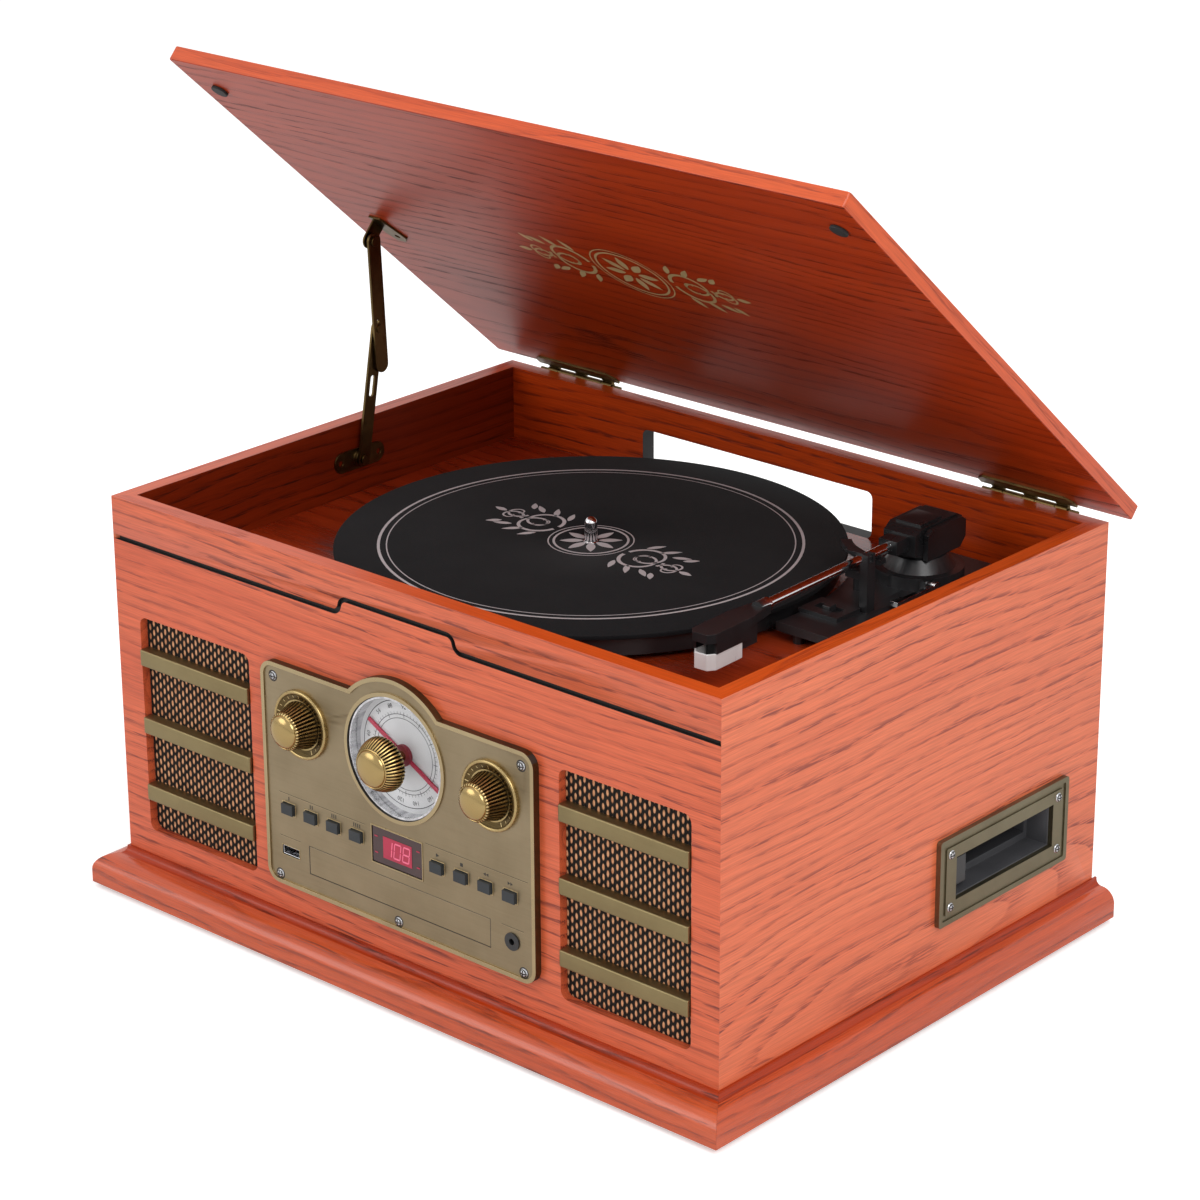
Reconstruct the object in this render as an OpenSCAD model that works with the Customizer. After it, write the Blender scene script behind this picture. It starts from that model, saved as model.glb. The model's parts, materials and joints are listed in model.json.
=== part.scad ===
// Stereo music centre in a wooden cabinet: turntable under a stayed lid, tuner, disc drawer, cassette slot.
// Millimetres. +X is right seen from the front, -Y is the front, +Z is up.
// The origin lies on the table, under the middle of the cabinet walls. The lid is drawn at its open stop.

/* [Cabinet] */
// Outside width of the cabinet walls
cabinet_w = 440; // [430:1:460]
// Outside depth of the cabinet walls
cabinet_d = 325; // [323:1:345]
// Height of the walls' top edge above the table
cabinet_h = 236.5; // [232:0.5:250]
// Thickness of the cabinet walls
wall_t = 10; // [9:0.5:11]
// Thickness of the turntable deck
deck_t = 6; // [5:0.5:9]
// Depth of the well above the deck
well_depth = 44.5; // [43:0.5:50]
// Thickness of the base board
base_t = 12; // [8:1:15]
// Height of the rubber feet
foot_h = 3; // [2:0.5:8]
// Radius of the rubber feet
foot_r = 9; // [6:0.5:14]
// Inset of the feet from the cabinet's corners
foot_inset = 30; // [20:1:50]
// Width of the black line cut into the front panel
groove_w = 2.8; // [2:0.2:4]
// Depth of the black line
groove_depth = 2.5; // [1:0.5:4]
// Distance of the black line below the top edge
groove_drop = 23.5; // [22:0.5:26]
// Rise of the line's middle stretch
groove_rise = 8.5; // [6:0.5:10]
// Half width of the raised middle stretch
groove_half = 36.5; // [30:0.5:45]
// Width of the rear window
window_w = 172; // [150:1:180]
// Height of the rear window above the deck
window_h = 28; // [24:0.5:30]

/* [Base moulding] */
// Height of the moulding round the foot of the cabinet
moulding_h = 21; // [20.5:0.5:25]
// How far the moulding stands out at the sides
moulding_side = 13.75; // [12.5:0.25:18]
// How far the moulding stands out at the front
moulding_front = 18.3; // [14:0.1:22]
// How far base and moulding stand out at the back
moulding_back = 3; // [0:0.5:6]
// Radius of the moulding's nose
nose_r = 8.5; // [6:0.25:9]
// Radius of the moulding's cove
cove_r = 3.5; // [2.5:0.25:4]

/* [Lid] */
// Width of the lid
lid_w = 467.5; // [462:0.5:480]
// Depth of the lid
lid_d = 344; // [340:1:356]
// Thickness of the lid
lid_t = 8.5; // [7:0.5:12]
// Gap between the shut lid and the walls
lid_gap = 1.9; // [1.8:0.1:3]
// Angle of the lid at its open stop
lid_open = 41.4; // [40:0.1:42]
// Corner radius of the lid
lid_corner_r = 2; // [0.5:0.5:6]
// Radius of the lid's rubber bumpers
bumper_r = 5; // [3:0.5:8]
// Distance of the bumpers from the lid's sides
bumper_in_x = 18; // [15:0.5:20]
// Distance of the bumpers from the lid's front edge
bumper_in_y = 28; // [26:0.5:29]

/* [Hinges] */
// Length of a hinge leaf
leaf_l = 64.4; // [60:0.2:70]
// Thickness of a hinge leaf
leaf_t = 1.2; // [0.8:0.1:1.4]
// Distance of each hinge from the middle of the lid
hinge_x = 166; // [150:1:175]
// Outer radius of the hinge knuckles
knuckle_r = 2.2; // [2:0.1:2.5]
// Radius of the hinge pin
hinge_pin_r = 1; // [0.8:0.1:1.1]
// Length of a lid knuckle
lid_knuckle_l = 8; // [6:0.5:9]
// Distance between lid knuckles
lid_knuckle_step = 21.6; // [20:0.2:23]

/* [Lid stay] */
// Length of the lower arm between its pivots
lower_arm_l = 78.1; // [77.8:0.1:79]
// Length of the upper arm between its pivots
upper_arm_l = 53.1; // [52.8:0.1:54]
// Width of both arms
arm_w = 9.6; // [8:0.2:11]
// Thickness of both arms
arm_t = 1.5; // [1:0.1:1.7]
// Length of the upper arm past the knee
arm_tail = 22; // [16:1:26]
// Radius of the stay's pivot pins
stay_pin_r = 1.6; // [1.2:0.1:2]
// Distance of the wall pivot in front of the hinge axis
wall_pivot_y = 146.5; // [145.5:0.5:147.5]
// Distance of the wall pivot below the walls' top edge
wall_pivot_drop = 23; // [22.5:0.1:23.5]
// Distance of the lid pivot in front of the hinge axis, lid shut
lid_pivot_y = 172.8; // [172:0.1:173.5]
// Distance of the lid pivot below the lid
lid_pivot_drop = 11.4; // [11:0.1:12]

/* [Front plate] */
// Width of the front plate
plate_w = 200; // [196:1:206]
// Height of the front plate below its arch
plate_h = 131; // [129:1:133]
// Height of the plate's lower edge above the table
plate_z = 42.5; // [41:0.5:44]
// Thickness of the front plate
plate_t = 3.5; // [3:0.1:5]
// Corner radius of the front plate
plate_r = 8.5; // [6:0.5:12]
// Radius of the arch over the dial
arch_r = 45; // [43:0.5:47]
// Width of the plate's raised rim
rim_w = 2.4; // [1.5:0.1:3]
// Height of the raised rim
rim_h = 0.9; // [0.4:0.1:1.4]
// Radius of the dial opening
dial_r = 34.5; // [33:0.5:37]
// Depth of the dial face behind the plate's front
dial_depth = 8; // [6:0.5:9]
// Distance of the side knobs from the middle
knob_x = 69.6; // [67:0.2:71]
// Radius of the side knobs at their foot
knob_r = 13.5; // [11:0.5:14.5]
// Length of the side knobs
knob_l = 17; // [14:0.5:20]
// Radius of the tuning knob at its foot
tuning_r = 15.2; // [14:0.2:18]
// Length of the tuning knob
tuning_l = 14.5; // [12:0.5:18]
// Distance of the tuning knob's foot in front of the plate
tuning_gap = 6.5; // [3:0.5:8]
// Radius of the rings behind the side knobs
collar_r = 19.7; // [19:0.1:21]
// Radius of the knob shafts
shaft_r = 3; // [2.5:0.1:3.5]
// Width of a push button
button_w = 8.6; // [7:0.2:10]
// Height of a push button
button_h = 6; // [5:0.2:7]
// How far a push button stands out
button_out = 2.2; // [1.6:0.1:3]
// Travel of a push button
button_travel = 1.2; // [0.8:0.1:1.4]
// Distance between push buttons
button_step = 17.4; // [16:0.1:18]
// Distance of the inner push buttons from the middle
button_x = 30; // [28:0.5:31]
// Width of the display
display_w = 36.5; // [34:0.5:38]
// Height of the display
display_h = 20.5; // [18:0.5:21]
// Width of the disc drawer's front
drawer_w = 134.6; // [132:0.2:136]
// Height of the disc drawer's front
drawer_h = 16.2; // [15:0.2:18]
// Length of the disc tray
tray_l = 140; // [132:1:148]
// Radius of the tray's round recess
disc_r = 60.5; // [60.2:0.1:61]

/* [Speakers] */
// Width of a speaker opening
grille_w = 88; // [84:1:90]
// Height of a speaker opening
grille_h = 130; // [126:1:132]
// Distance of a speaker's middle from the cabinet's middle
grille_x = 157.5; // [156:0.5:159]
// Height of the speakers' middle above the table
grille_z = 104.5; // [103:0.5:106]
// Corner radius of a speaker opening
grille_r = 5; // [3:0.5:8]
// Height of a grille bar
bar_h = 9.6; // [8:0.2:11]
// How far the bars stand out of the front
bar_out = 2; // [1:0.2:3]
// Distance between the grille bars
bar_step = 41; // [38:0.5:42]

/* [Cassette slot] */
// Length of the cassette bezel
bezel_l = 116.5; // [114:0.5:120]
// Height of the cassette bezel
bezel_h = 50.5; // [48:0.5:54]
// Thickness of the cassette bezel
bezel_t = 3; // [2:0.5:4]
// Position of the bezel's middle behind the cabinet's middle
bezel_y = 73.2; // [70:0.2:76]
// Height of the bezel's middle above the table
bezel_z = 73; // [71:0.5:80]
// Length of the bezel's opening
slot_l = 88; // [86:0.5:90]
// Height of the bezel's opening
slot_h = 25; // [24:0.5:27]

/* [Turntable] */
// Spindle's distance to the right of the cabinet's middle
spindle_x = -22.5; // [-24:0.5:-22]
// Spindle's distance behind the cabinet's middle
spindle_y = 14.2; // [12:0.1:14.6]
// Radius of the record spindle
spindle_r = 3.6; // [3.5:0.05:3.65]
// Height of the spindle above the mat
spindle_h = 14; // [12:0.5:17]
// Radius of the platter
platter_r = 139; // [135:0.5:140]
// Height of the platter's rim
platter_h = 10.5; // [10:0.5:11]
// Gap between deck and platter rim
platter_gap = 3.5; // [3.5:0.1:4]
// Radius of the slip mat
mat_r = 143; // [141:0.5:143.5]
// Thickness of the slip mat
mat_t = 2.5; // [1.5:0.1:2.6]
// Radius of the ring that the belt drives
ring_r = 62; // [55:0.5:66]
// Radius of the motor pulley
pulley_r = 4.5; // [4:0.1:6]
// Distance from spindle to motor shaft
motor_reach = 95; // [90:0.5:105]
// Width of the drive belt
belt_w = 4; // [3:0.1:5]
// Thickness of the drive belt
belt_t = 0.7; // [0.5:0.1:1]

/* [Tonearm] */
// Arm pivot's distance to the right of the cabinet's middle
pivot_x = 138.5; // [137:0.5:140]
// Arm pivot's distance in front of the cabinet's back
pivot_back = 60.5; // [58.5:0.5:62]
// Height of the arm tube above the deck
arm_up = 36; // [35.5:0.1:36.4]
// Angle of the parked arm, outwards from straight ahead
park_angle = 2.25; // [1:0.25:4]
// Distance from pivot to the front of the headshell
arm_l = 194; // [190:1:196]
// Radius of the arm tube
tube_r = 2.8; // [2.4:0.1:3.2]
// Length of the headshell
shell_l = 55; // [50:1:60]
// Distance from pivot to the arm rest
rest_reach = 61; // [58:1:66]
// Distance from pivot to the lifting arc
lift_reach = 40; // [37:1:43]
// Radius of the arm's upright shaft
arm_shaft_r = 3; // [2.5:0.1:3.5]
// Length of the cueing lever
cue_l = 30; // [26:1:32]

/* [Fits] */
// Running clearance on a radius, shaft in bore
run_c = 0.05; // [0.03:0.01:0.1]
// Clearance between parts that slide or pass
slide_c = 0.3; // [0.2:0.05:0.4]
// Gap in the moulding's mitre joints
mitre_gap = 0.1; // [0.05:0.01:0.2]

/* [Hidden] */
$fn = 64;
eps = 0.01; // overshoot of a cutting tool

// Cabinet planes
side_x = cabinet_w / 2;
front_y = -cabinet_d / 2;
back_y = cabinet_d / 2;
in_x = side_x - wall_t;
in_front_y = front_y + wall_t;
in_back_y = back_y - wall_t;
board_z = foot_h + base_t;
deck_z = cabinet_h - well_depth;
under_deck_z = deck_z - deck_t;
groove_z = cabinet_h - groove_drop;

// Moulding profile
moulding_lip = 1.2;
nose_z = moulding_h - nose_r - cove_r - 1;
cove_z = nose_z + nose_r + cove_r;
back_end_y = back_y + moulding_back;

// Lid and hinge axis
hinge_y = back_y + 3;
hinge_z = cabinet_h - 1;
lid_under_z = cabinet_h + lid_gap;
lid_back_y = back_y - 0.5;
lid_front_y = lid_back_y - lid_d;

// Stay: the lower pivot, and the upper pivot with the lid shut and open
wall_pivot = [hinge_y - wall_pivot_y, cabinet_h - wall_pivot_drop];
lid_pivot_shut = [hinge_y - lid_pivot_y, lid_under_z - lid_pivot_drop];
lid_pivot_open = about_hinge(lid_pivot_shut);
knee = meeting(wall_pivot, lower_arm_l, lid_pivot_open, upper_arm_l);
stay_x = -in_x + 3.7;
bracket_t = 1.2;

// Front plate
face_y = front_y - plate_t;
dial_z = plate_z + plate_h - 31;
plate_mid_z = plate_z + plate_h / 2;
button_z = plate_z + 46.6;
display_z = plate_z + 46;
drawer_z = plate_z + 20.5;
socket_z = plate_z + 20.8;
jack_x = 83.1;
usb_x = -82;
screw_x = plate_w / 2 - 9;
screw_low_z = plate_z + 5.2;
screw_high_z = plate_z + 122.6;
cutout_half = plate_w / 2 - 6;
cutout_low = 7.5;
cutout_high = 113;
pcb_y = front_y + 15;
pcb_t = 1.6;
pot_r = 8;
bush_l = 8;
shaft_end = pcb_y - 1 - slide_c;
switch_t = 4;

// Disc tray
tray_w = drawer_w - 7;
tray_t = 8;
tray_z = drawer_z - tray_t / 2;
disc_y = front_y + disc_r + 3.5;

// Turntable levels
platter_z = deck_z + platter_gap;
platter_top = platter_z + platter_h;
mat_top = platter_top + mat_t;
platter_skin = 2.2;
platter_under = platter_top - platter_skin;
bearing_r = 6;
shank_r = spindle_r + 0.8;
belt_z = platter_z + 2.6;

// Round parts of the dial
dial_floor = 1.5;
dial_wall = 1.2;
lens_drop = 2.2;
lens_t = 1.2;
hub_r = 6;
hub_h = 2.2;
pointer_w = 2.3;
pointer_t = 0.9;
pointer_turn = 151;

// Knobs and collars
dome_h = 2;
flute_r = 0.75;
flute_out = 0.25;
knob_taper = 0.73;
tuning_taper = 0.68;
collar_floor = 1.2;
collar_bead = 1.1;

// Push buttons
stem_r = 1.6;
flange_t = 1;
flange_over = 1.2;

// Pan-head screws
screw_r = 1.5;
screw_head_r = 2.6;
screw_head_h = 1.5;
screw_l = 9;
cross_l = 4;
cross_w = 0.7;

// Small sockets in the plate
usb_w = 13.2;
usb_h = 5.6;
usb_wall = 0.5;
socket_deep = 14;
jack_r = 3.6;
jack_bore = 1.8;
jack_nut_r = 5;
jack_body = 9;

// Boards
pot_h = 8;
power_x = -185;
power_y = 40;
power_w = 110;
power_d = 90;
power_up = 8;
post_in = 5;
core = 46;
core_h = 34;
coil_over = 4;
can_r = 7;
can_h = 22;
can_step = 24;

// Speakers
cloth_back = 7;
cloth_t = 2;
frame_t = 3;
magnet_r = 30;
magnet_h = 16;
cone_r = 37;
cone_rim = 42;
cone_low = 24;
driver_deep = 42;

// Cassette slot
bezel_screw_y = 48.6;
bezel_screw_z = 15.4;
housing_deep = 112;
throat_deep = 106;
throat_l = 67;
throat_h = 14;
mouth_deep = 14;
key_w = 12;
key_h = 17;
key_l = 22;

// Motor and bearing
motor_r = 17;
motor_h = 24;
motor_flange_r = 22;
motor_flange_t = 2;
motor_shaft_r = 1.2;
motor_shaft_l = 20;
bearing_flange_r = 16;
pulley_lip = 0.6;
rim_wall = 3;
ring_wall = 2.5;

// Rear sockets
sockets_x = 120;
sockets_z = 70;
sockets_w = 96;
sockets_h = 44;
inlet_x = sockets_x - 26;
inlet_w = 19;
inlet_h = 12;
inlet_deep = 12;
inlet_wall = 4.5;
phono_r = 4.2;
phono_bore = 1.6;
phono_out = 15.5;
phono_in = 7.5;
phono_floor = 4;
phono_x = sockets_x + 16;
phono_step = 16;

// Tonearm levels
pivot_y = back_y - pivot_back;
arm_z = deck_z + arm_up;
plate_low = deck_z + 6;
plate_high = deck_z + 11;
boss_top = deck_z + 18;
cone_top = deck_z + 25;
guard_z = mat_top + 0.8;
guard_h = 9;
cheek_in = 10.8;
cheek_t = 3.2;
clip_z = arm_z + tube_r + 2.9;
clip_x = 9.5;
clip_w = 2.8;
clip_r = 1.5;
clip_pin_r = 0.8;
boss_r = 25;
cone_r1 = 20;
cone_r2 = 15;
leg_r = 3.2;
post_x = 6.5;
post_w = 7;
lift_turn = 20; // degrees from the parked arm to the lift's post
lift_r = 2.5;
lift_t = 3;
cue_x = pivot_x + 21.5;
cue_y = pivot_y - 16;
cue_z = deck_z + 15;
cue_r = 1.5;
cue_hub_r = 2.6;
cue_hub_l = 3;
switch_x = pivot_x - 2.5;
switch_y = pivot_y - 75;
switch_w = 5;
switch_d = 6;
switch_run = 16;
pivot_pin_r = 1.5;
collar_l = 9;
collar_tube_r = 3.9;
shell_w = 7.6;
shell_nose = 4.6;
shell_neck = 4;
shell_t = 5;
guard_wall = 1.2;
guard_w = 7;
guard_l = 26;

// Rotation of a side-view point [y, z] from the shut lid to the open lid
function about_hinge(p) =
    let (y = p[0] - hinge_y, z = p[1] - hinge_z, c = cos(lid_open), s = sin(lid_open))
    [hinge_y + y * c + z * s, hinge_z - y * s + z * c];

// Meeting point of two circles, the one behind the line between their centres
function meeting(a, ra, b, rb) =
    let (d = norm(b - a), u = (b - a) / d, m = (ra * ra - rb * rb + d * d) / (2 * d),
        h = sqrt(ra * ra - m * m))
    a + u * m + [u[1], -u[0]] * h;

// Angle of the line from a to b in the side view
function heading(a, b) = atan2(b[1] - a[1], b[0] - a[0]);

// Points on an arc
function arc(c, r, a0, a1, n) =
    [for (i = [0:n]) c + r * [cos(a0 + (a1 - a0) * i / n), sin(a0 + (a1 - a0) * i / n)]];

// ---------------------------------------------------------------- placing helpers

// Flat shape drawn in x and z, extruded towards the front from y0
module facing(y0, h) {
    translate([0, y0, 0]) rotate([90, 0, 0]) linear_extrude(h) children();
}

// Round pieces whose axis points to the front, based at y0
module axis_front(x, z, y0) {
    translate([x, y0, z]) rotate([90, 0, 0]) children();
}

// Flat shape drawn in y and z, extruded towards +x from x0
module sideways(x0, h) {
    translate([x0, 0, 0]) rotate([90, 0, 90]) linear_extrude(h) children();
}

// Pieces drawn on the shut lid, shown at the open stop
module on_lid() {
    translate([0, hinge_y, hinge_z]) rotate([-lid_open, 0, 0]) translate([0, -hinge_y, -hinge_z]) children();
}

// Pieces drawn at the arm pivot with the arm pointing to the front, turned to the parked angle
module on_arm() {
    translate([pivot_x, pivot_y, 0]) rotate([0, 0, park_angle]) children();
}

module at_spindle() {
    translate([spindle_x, spindle_y, 0]) children();
}

module rounded(w, h, r) {
    square([w - 2 * r, h], center = true);
    square([w, h - 2 * r], center = true);
    for (x = [-1, 1], y = [-1, 1]) translate([x * (w / 2 - r), y * (h / 2 - r)]) circle(r);
}

// Bar with round ends from a to b
module link(a, b, w) {
    l = norm(b - a);
    translate(a) rotate(heading(a, b)) {
        translate([0, -w / 2]) square([l, w]);
        circle(d = w);
        translate([l, 0]) circle(d = w);
    }
}

// ---------------------------------------------------------------- cabinet

function moulding_profile(reach) =
    let (k = reach / moulding_side)
    [for (p = concat([[0, 0], [moulding_side, 0]],
        arc([moulding_side - nose_r, nose_z], nose_r, 0, 90, 8),
        arc([moulding_lip + cove_r, cove_z], cove_r, 270, 180, 5),
        [[moulding_lip, moulding_h], [0, moulding_h]])) [p[0] * k, p[1]]];

module plinth_moulding() {
    corner_x = side_x + moulding_side;
    corner_y = front_y - moulding_front;
    color("sienna") translate([0, 0, foot_h]) {
        intersection() {
            translate([-corner_x, front_y, 0]) rotate([90, 0, 90]) linear_extrude(2 * corner_x)
                polygon([for (p = moulding_profile(moulding_front)) [-p[0], p[1]]]);
            linear_extrude(moulding_h) polygon([[-side_x, front_y], [-corner_x, corner_y],
                [corner_x, corner_y], [side_x, front_y]]);
        }
        for (s = [-1, 1]) intersection() {
            translate([s * side_x, back_end_y, 0]) rotate([90, 0, 0]) linear_extrude(back_end_y - corner_y)
                polygon([for (p = moulding_profile(moulding_side)) [s * p[0], p[1]]]);
            linear_extrude(moulding_h) polygon([[s * side_x, front_y + mitre_gap],
                [s * corner_x, corner_y + mitre_gap], [s * corner_x, back_end_y], [s * side_x, back_end_y]]);
        }
    }
}

module base_board() {
    color("saddlebrown") translate([-side_x, front_y, foot_h])
        cube([cabinet_w, cabinet_d + moulding_back, base_t]);
}

module rubber_feet() {
    color("black") for (x = [-1, 1], y = [-1, 1])
        translate([x * (side_x - foot_inset), y * (back_y - foot_inset), 0]) cylinder(r = foot_r, h = foot_h);
}

// Plan of one mitred wall, outer edge from a to b
module wall_plan(a, b, ai, bi) {
    translate([0, 0, board_z]) linear_extrude(cabinet_h - board_z) polygon([a, b, bi, ai]);
}

// Line with a raised middle, as the outline of a cut of width groove_w
function rise_path() =
    let (run = groove_rise * 1.18, turn = 2 * atan(groove_rise / run), r = run / (2 * sin(turn)))
    concat([for (q = arc([groove_half + run, r], r, 270, 270 - turn, 6))
        [q, (q - [groove_half + run, r]) / -r]],
        [for (q = arc([groove_half, groove_rise - r], r, 90 - turn, 90, 6))
            [q, (q - [groove_half, groove_rise - r]) / r]]);

module groove_shape() {
    path = rise_path();
    upper = [for (p = path) p[0] + p[1] * groove_w / 2];
    lower = [for (p = path) p[0] - p[1] * groove_w / 2];
    for (s = [0, 1]) mirror([s, 0]) {
        polygon(concat([[side_x + eps, groove_w / 2]], upper,
            [[0, groove_rise + groove_w / 2], [0, groove_rise - groove_w / 2]],
            [for (i = [len(lower) - 1:-1:0]) lower[i]], [[side_x + eps, -groove_w / 2]]));
    }
}

module front_panel() {
    color("sienna") difference() {
        wall_plan([-side_x, front_y], [side_x, front_y], [-in_x, in_front_y], [in_x, in_front_y]);
        translate([0, 0, groove_z]) facing(front_y + groove_depth, groove_depth + eps) groove_shape();
        facing(in_front_y + eps, wall_t + 2 * eps) {
            translate([-cutout_half, plate_z + cutout_low])
                square([2 * cutout_half, cutout_high - cutout_low]);
            translate([0, dial_z]) circle(dial_r + 5);
            for (s = [-1, 1]) translate([s * grille_x, grille_z]) rounded(grille_w, grille_h, grille_r);
            plate_screw_holes();
        }
    }
}

module left_panel() {
    color("sienna") wall_plan([-side_x, back_y], [-side_x, front_y], [-in_x, in_back_y], [-in_x, in_front_y]);
}

module right_panel() {
    color("sienna") difference() {
        wall_plan([side_x, front_y], [side_x, back_y], [in_x, in_front_y], [in_x, in_back_y]);
        sideways(in_x - eps, wall_t + 2 * eps) {
            translate([bezel_y, bezel_z]) square([slot_l + 4, slot_h + 4], center = true);
            bezel_screw_holes();
        }
    }
}

module rear_panel() {
    color("sienna") difference() {
        wall_plan([side_x, back_y], [-side_x, back_y], [in_x, in_back_y], [-in_x, in_back_y]);
        facing(back_y + eps, wall_t + 2 * eps) {
            translate([spindle_x + 3.5, deck_z + window_h / 2]) rounded(window_w, window_h, 4);
            translate([sockets_x, sockets_z]) square([sockets_w - 12, sockets_h - 12], center = true);
        }
    }
}

module deck_board() {
    color("saddlebrown") difference() {
        translate([-in_x, in_front_y, under_deck_z]) cube([2 * in_x, in_back_y - in_front_y, deck_t]);
        at_spindle() {
            translate([0, 0, under_deck_z - eps]) cylinder(r = bearing_r + 2 + slide_c, h = deck_t + 2 * eps);
            translate([-motor_reach, 0, under_deck_z - eps]) cylinder(r = pulley_r, h = deck_t + 2 * eps);
        }
        translate([pivot_x, pivot_y, under_deck_z - eps]) cylinder(r = arm_shaft_r + 4, h = deck_t + 2 * eps);
    }
}

// ---------------------------------------------------------------- hinges and lid

module lid_panel() {
    color("sienna") on_lid() translate([0, (lid_back_y + lid_front_y) / 2, lid_under_z])
        linear_extrude(lid_t) rounded(lid_w, lid_d, lid_corner_r);
}

module lid_bumpers() {
    color("black") on_lid() for (s = [-1, 1])
        translate([s * (lid_w / 2 - bumper_in_x), lid_front_y + bumper_in_y, cabinet_h + slide_c])
            cylinder(r = bumper_r, h = lid_gap - slide_c);
}

// One knuckle with its bore, centred on the hinge axis
module knuckle(x, l) {
    translate([x - l / 2, hinge_y, hinge_z]) rotate([0, 90, 0]) difference() {
        cylinder(r = knuckle_r, h = l);
        translate([0, 0, -eps]) cylinder(r = hinge_pin_r + run_c, h = l + 2 * eps);
    }
}

module lid_hinge_leaves() {
    leaf_front = in_back_y + 0.5;
    color("darkgoldenrod") on_lid() for (s = [-1, 1]) difference() {
        union() {
            translate([s * hinge_x, 0, lid_under_z - leaf_t]) linear_extrude(leaf_t)
                polygon([[-leaf_l / 2, lid_back_y], [leaf_l / 2, lid_back_y], [leaf_l / 2, leaf_front + 4],
                    [leaf_l / 2 - 5, leaf_front], [5 - leaf_l / 2, leaf_front], [-leaf_l / 2, leaf_front + 4]]);
            for (k = [-1, 0, 1]) {
                x = s * hinge_x + k * lid_knuckle_step;
                knuckle(x, lid_knuckle_l);
                translate([x - lid_knuckle_l / 2, lid_back_y - 1, lid_under_z - leaf_t])
                    cube([lid_knuckle_l, hinge_y - lid_back_y + 1, leaf_t]);
            }
        }
        translate([s * hinge_x - leaf_l / 2 - eps, hinge_y, hinge_z]) rotate([0, 90, 0])
            cylinder(r = hinge_pin_r + run_c, h = leaf_l + 2 * eps);
    }
}

module cabinet_hinge_leaves() {
    knuckle_l = lid_knuckle_step - lid_knuckle_l - 2 * slide_c;
    color("goldenrod") for (s = [-1, 1]) {
        difference() {
            union() {
                translate([s * hinge_x - leaf_l / 2, back_y, hinge_z - 17])
                    cube([leaf_l, leaf_t, 17 - knuckle_r - 2 * slide_c]);
                for (k = [-0.5, 0.5]) {
                    x = s * hinge_x + k * lid_knuckle_step;
                    knuckle(x, knuckle_l);
                    translate([x - knuckle_l / 2, back_y, hinge_z - knuckle_r - 1])
                        cube([knuckle_l, leaf_t, knuckle_r + 1]);
                }
            }
            translate([s * hinge_x - leaf_l / 2 - eps, hinge_y, hinge_z]) rotate([0, 90, 0])
                cylinder(r = hinge_pin_r + run_c, h = leaf_l + 2 * eps);
        }
        translate([s * hinge_x - leaf_l / 2, hinge_y, hinge_z]) rotate([0, 90, 0])
            cylinder(r = hinge_pin_r, h = leaf_l);
    }
}

// ---------------------------------------------------------------- lid stay

module pin_hole(p, r) {
    translate(p) circle(r);
}

module stay_wall_bracket() {
    half = 20;
    color("darkolivegreen") {
        sideways(-in_x, bracket_t) difference() {
            link(wall_pivot - [half - 6, 0], wall_pivot + [half - 6, 0], 12.5);
            for (s = [-1, 1]) pin_hole(wall_pivot + [s * (half - 4.5), 0], 1.8);
        }
        sideways(-in_x, 3.4) translate(wall_pivot) circle(5);
        sideways(-in_x, stay_x + in_x + arm_t + slide_c) translate(wall_pivot) circle(stay_pin_r);
        sideways(stay_x + arm_t + slide_c, 1) translate(wall_pivot) circle(stay_pin_r + 1.4);
    }
}

module stay_lower_arm() {
    color("darkolivegreen") {
        sideways(stay_x, arm_t) difference() {
            link(wall_pivot, knee, arm_w - 0.8);
            pin_hole(wall_pivot, stay_pin_r + run_c);
            link(wall_pivot + (knee - wall_pivot) * 0.5, wall_pivot + (knee - wall_pivot) * 0.62, 3.4);
        }
        sideways(stay_x - 0.8, 0.8) translate(knee) circle(2.6);
    }
}

module stay_upper_arm() {
    tail = knee + (knee - lid_pivot_open) * arm_tail / upper_arm_l;
    upper_x = stay_x + arm_t + slide_c;
    color("darkolivegreen") {
        sideways(upper_x, arm_t) difference() {
            link(lid_pivot_open, tail, arm_w);
            pin_hole(lid_pivot_open, stay_pin_r + run_c);
            pin_hole(knee + [-1.6, 4.8], 1.1);
        }
        sideways(upper_x + arm_t, 0.8) translate(knee) circle(2.6);
    }
}

module stay_lid_bracket() {
    upper_x = stay_x + arm_t + slide_c;
    flange_x = stay_x - slide_c - bracket_t;
    color("darkolivegreen") on_lid() {
        translate([0, 0, lid_under_z - bracket_t]) linear_extrude(bracket_t) difference() {
            polygon([[flange_x, lid_pivot_shut[0] - 9], [flange_x + 9, lid_pivot_shut[0] - 9],
                [flange_x + 15, lid_pivot_shut[0] + 12], [flange_x + 11, lid_pivot_shut[0] + 17],
                [flange_x + 4, lid_pivot_shut[0] + 17], [flange_x, lid_pivot_shut[0] + 10]]);
            translate([flange_x + 8.5, lid_pivot_shut[0] + 11]) circle(1.8);
        }
        sideways(flange_x, bracket_t) {
            translate(lid_pivot_shut) circle(5);
            translate(lid_pivot_shut - [5, 0]) square([10, lid_pivot_drop]);
        }
        sideways(flange_x, upper_x + arm_t + slide_c - flange_x) translate(lid_pivot_shut) circle(stay_pin_r);
        sideways(upper_x + arm_t + slide_c, 1) translate(lid_pivot_shut) circle(stay_pin_r + 1.4);
    }
}

// ---------------------------------------------------------------- front plate and controls

module plate_outline(inset) {
    translate([0, plate_mid_z]) rounded(plate_w - 2 * inset, plate_h - 2 * inset, plate_r - inset);
    translate([0, dial_z]) circle(arch_r - inset);
}

function button_at(i) = i <= 4 ? -button_x - (4 - i) * button_step : button_x + (i - 5) * button_step;

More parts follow.
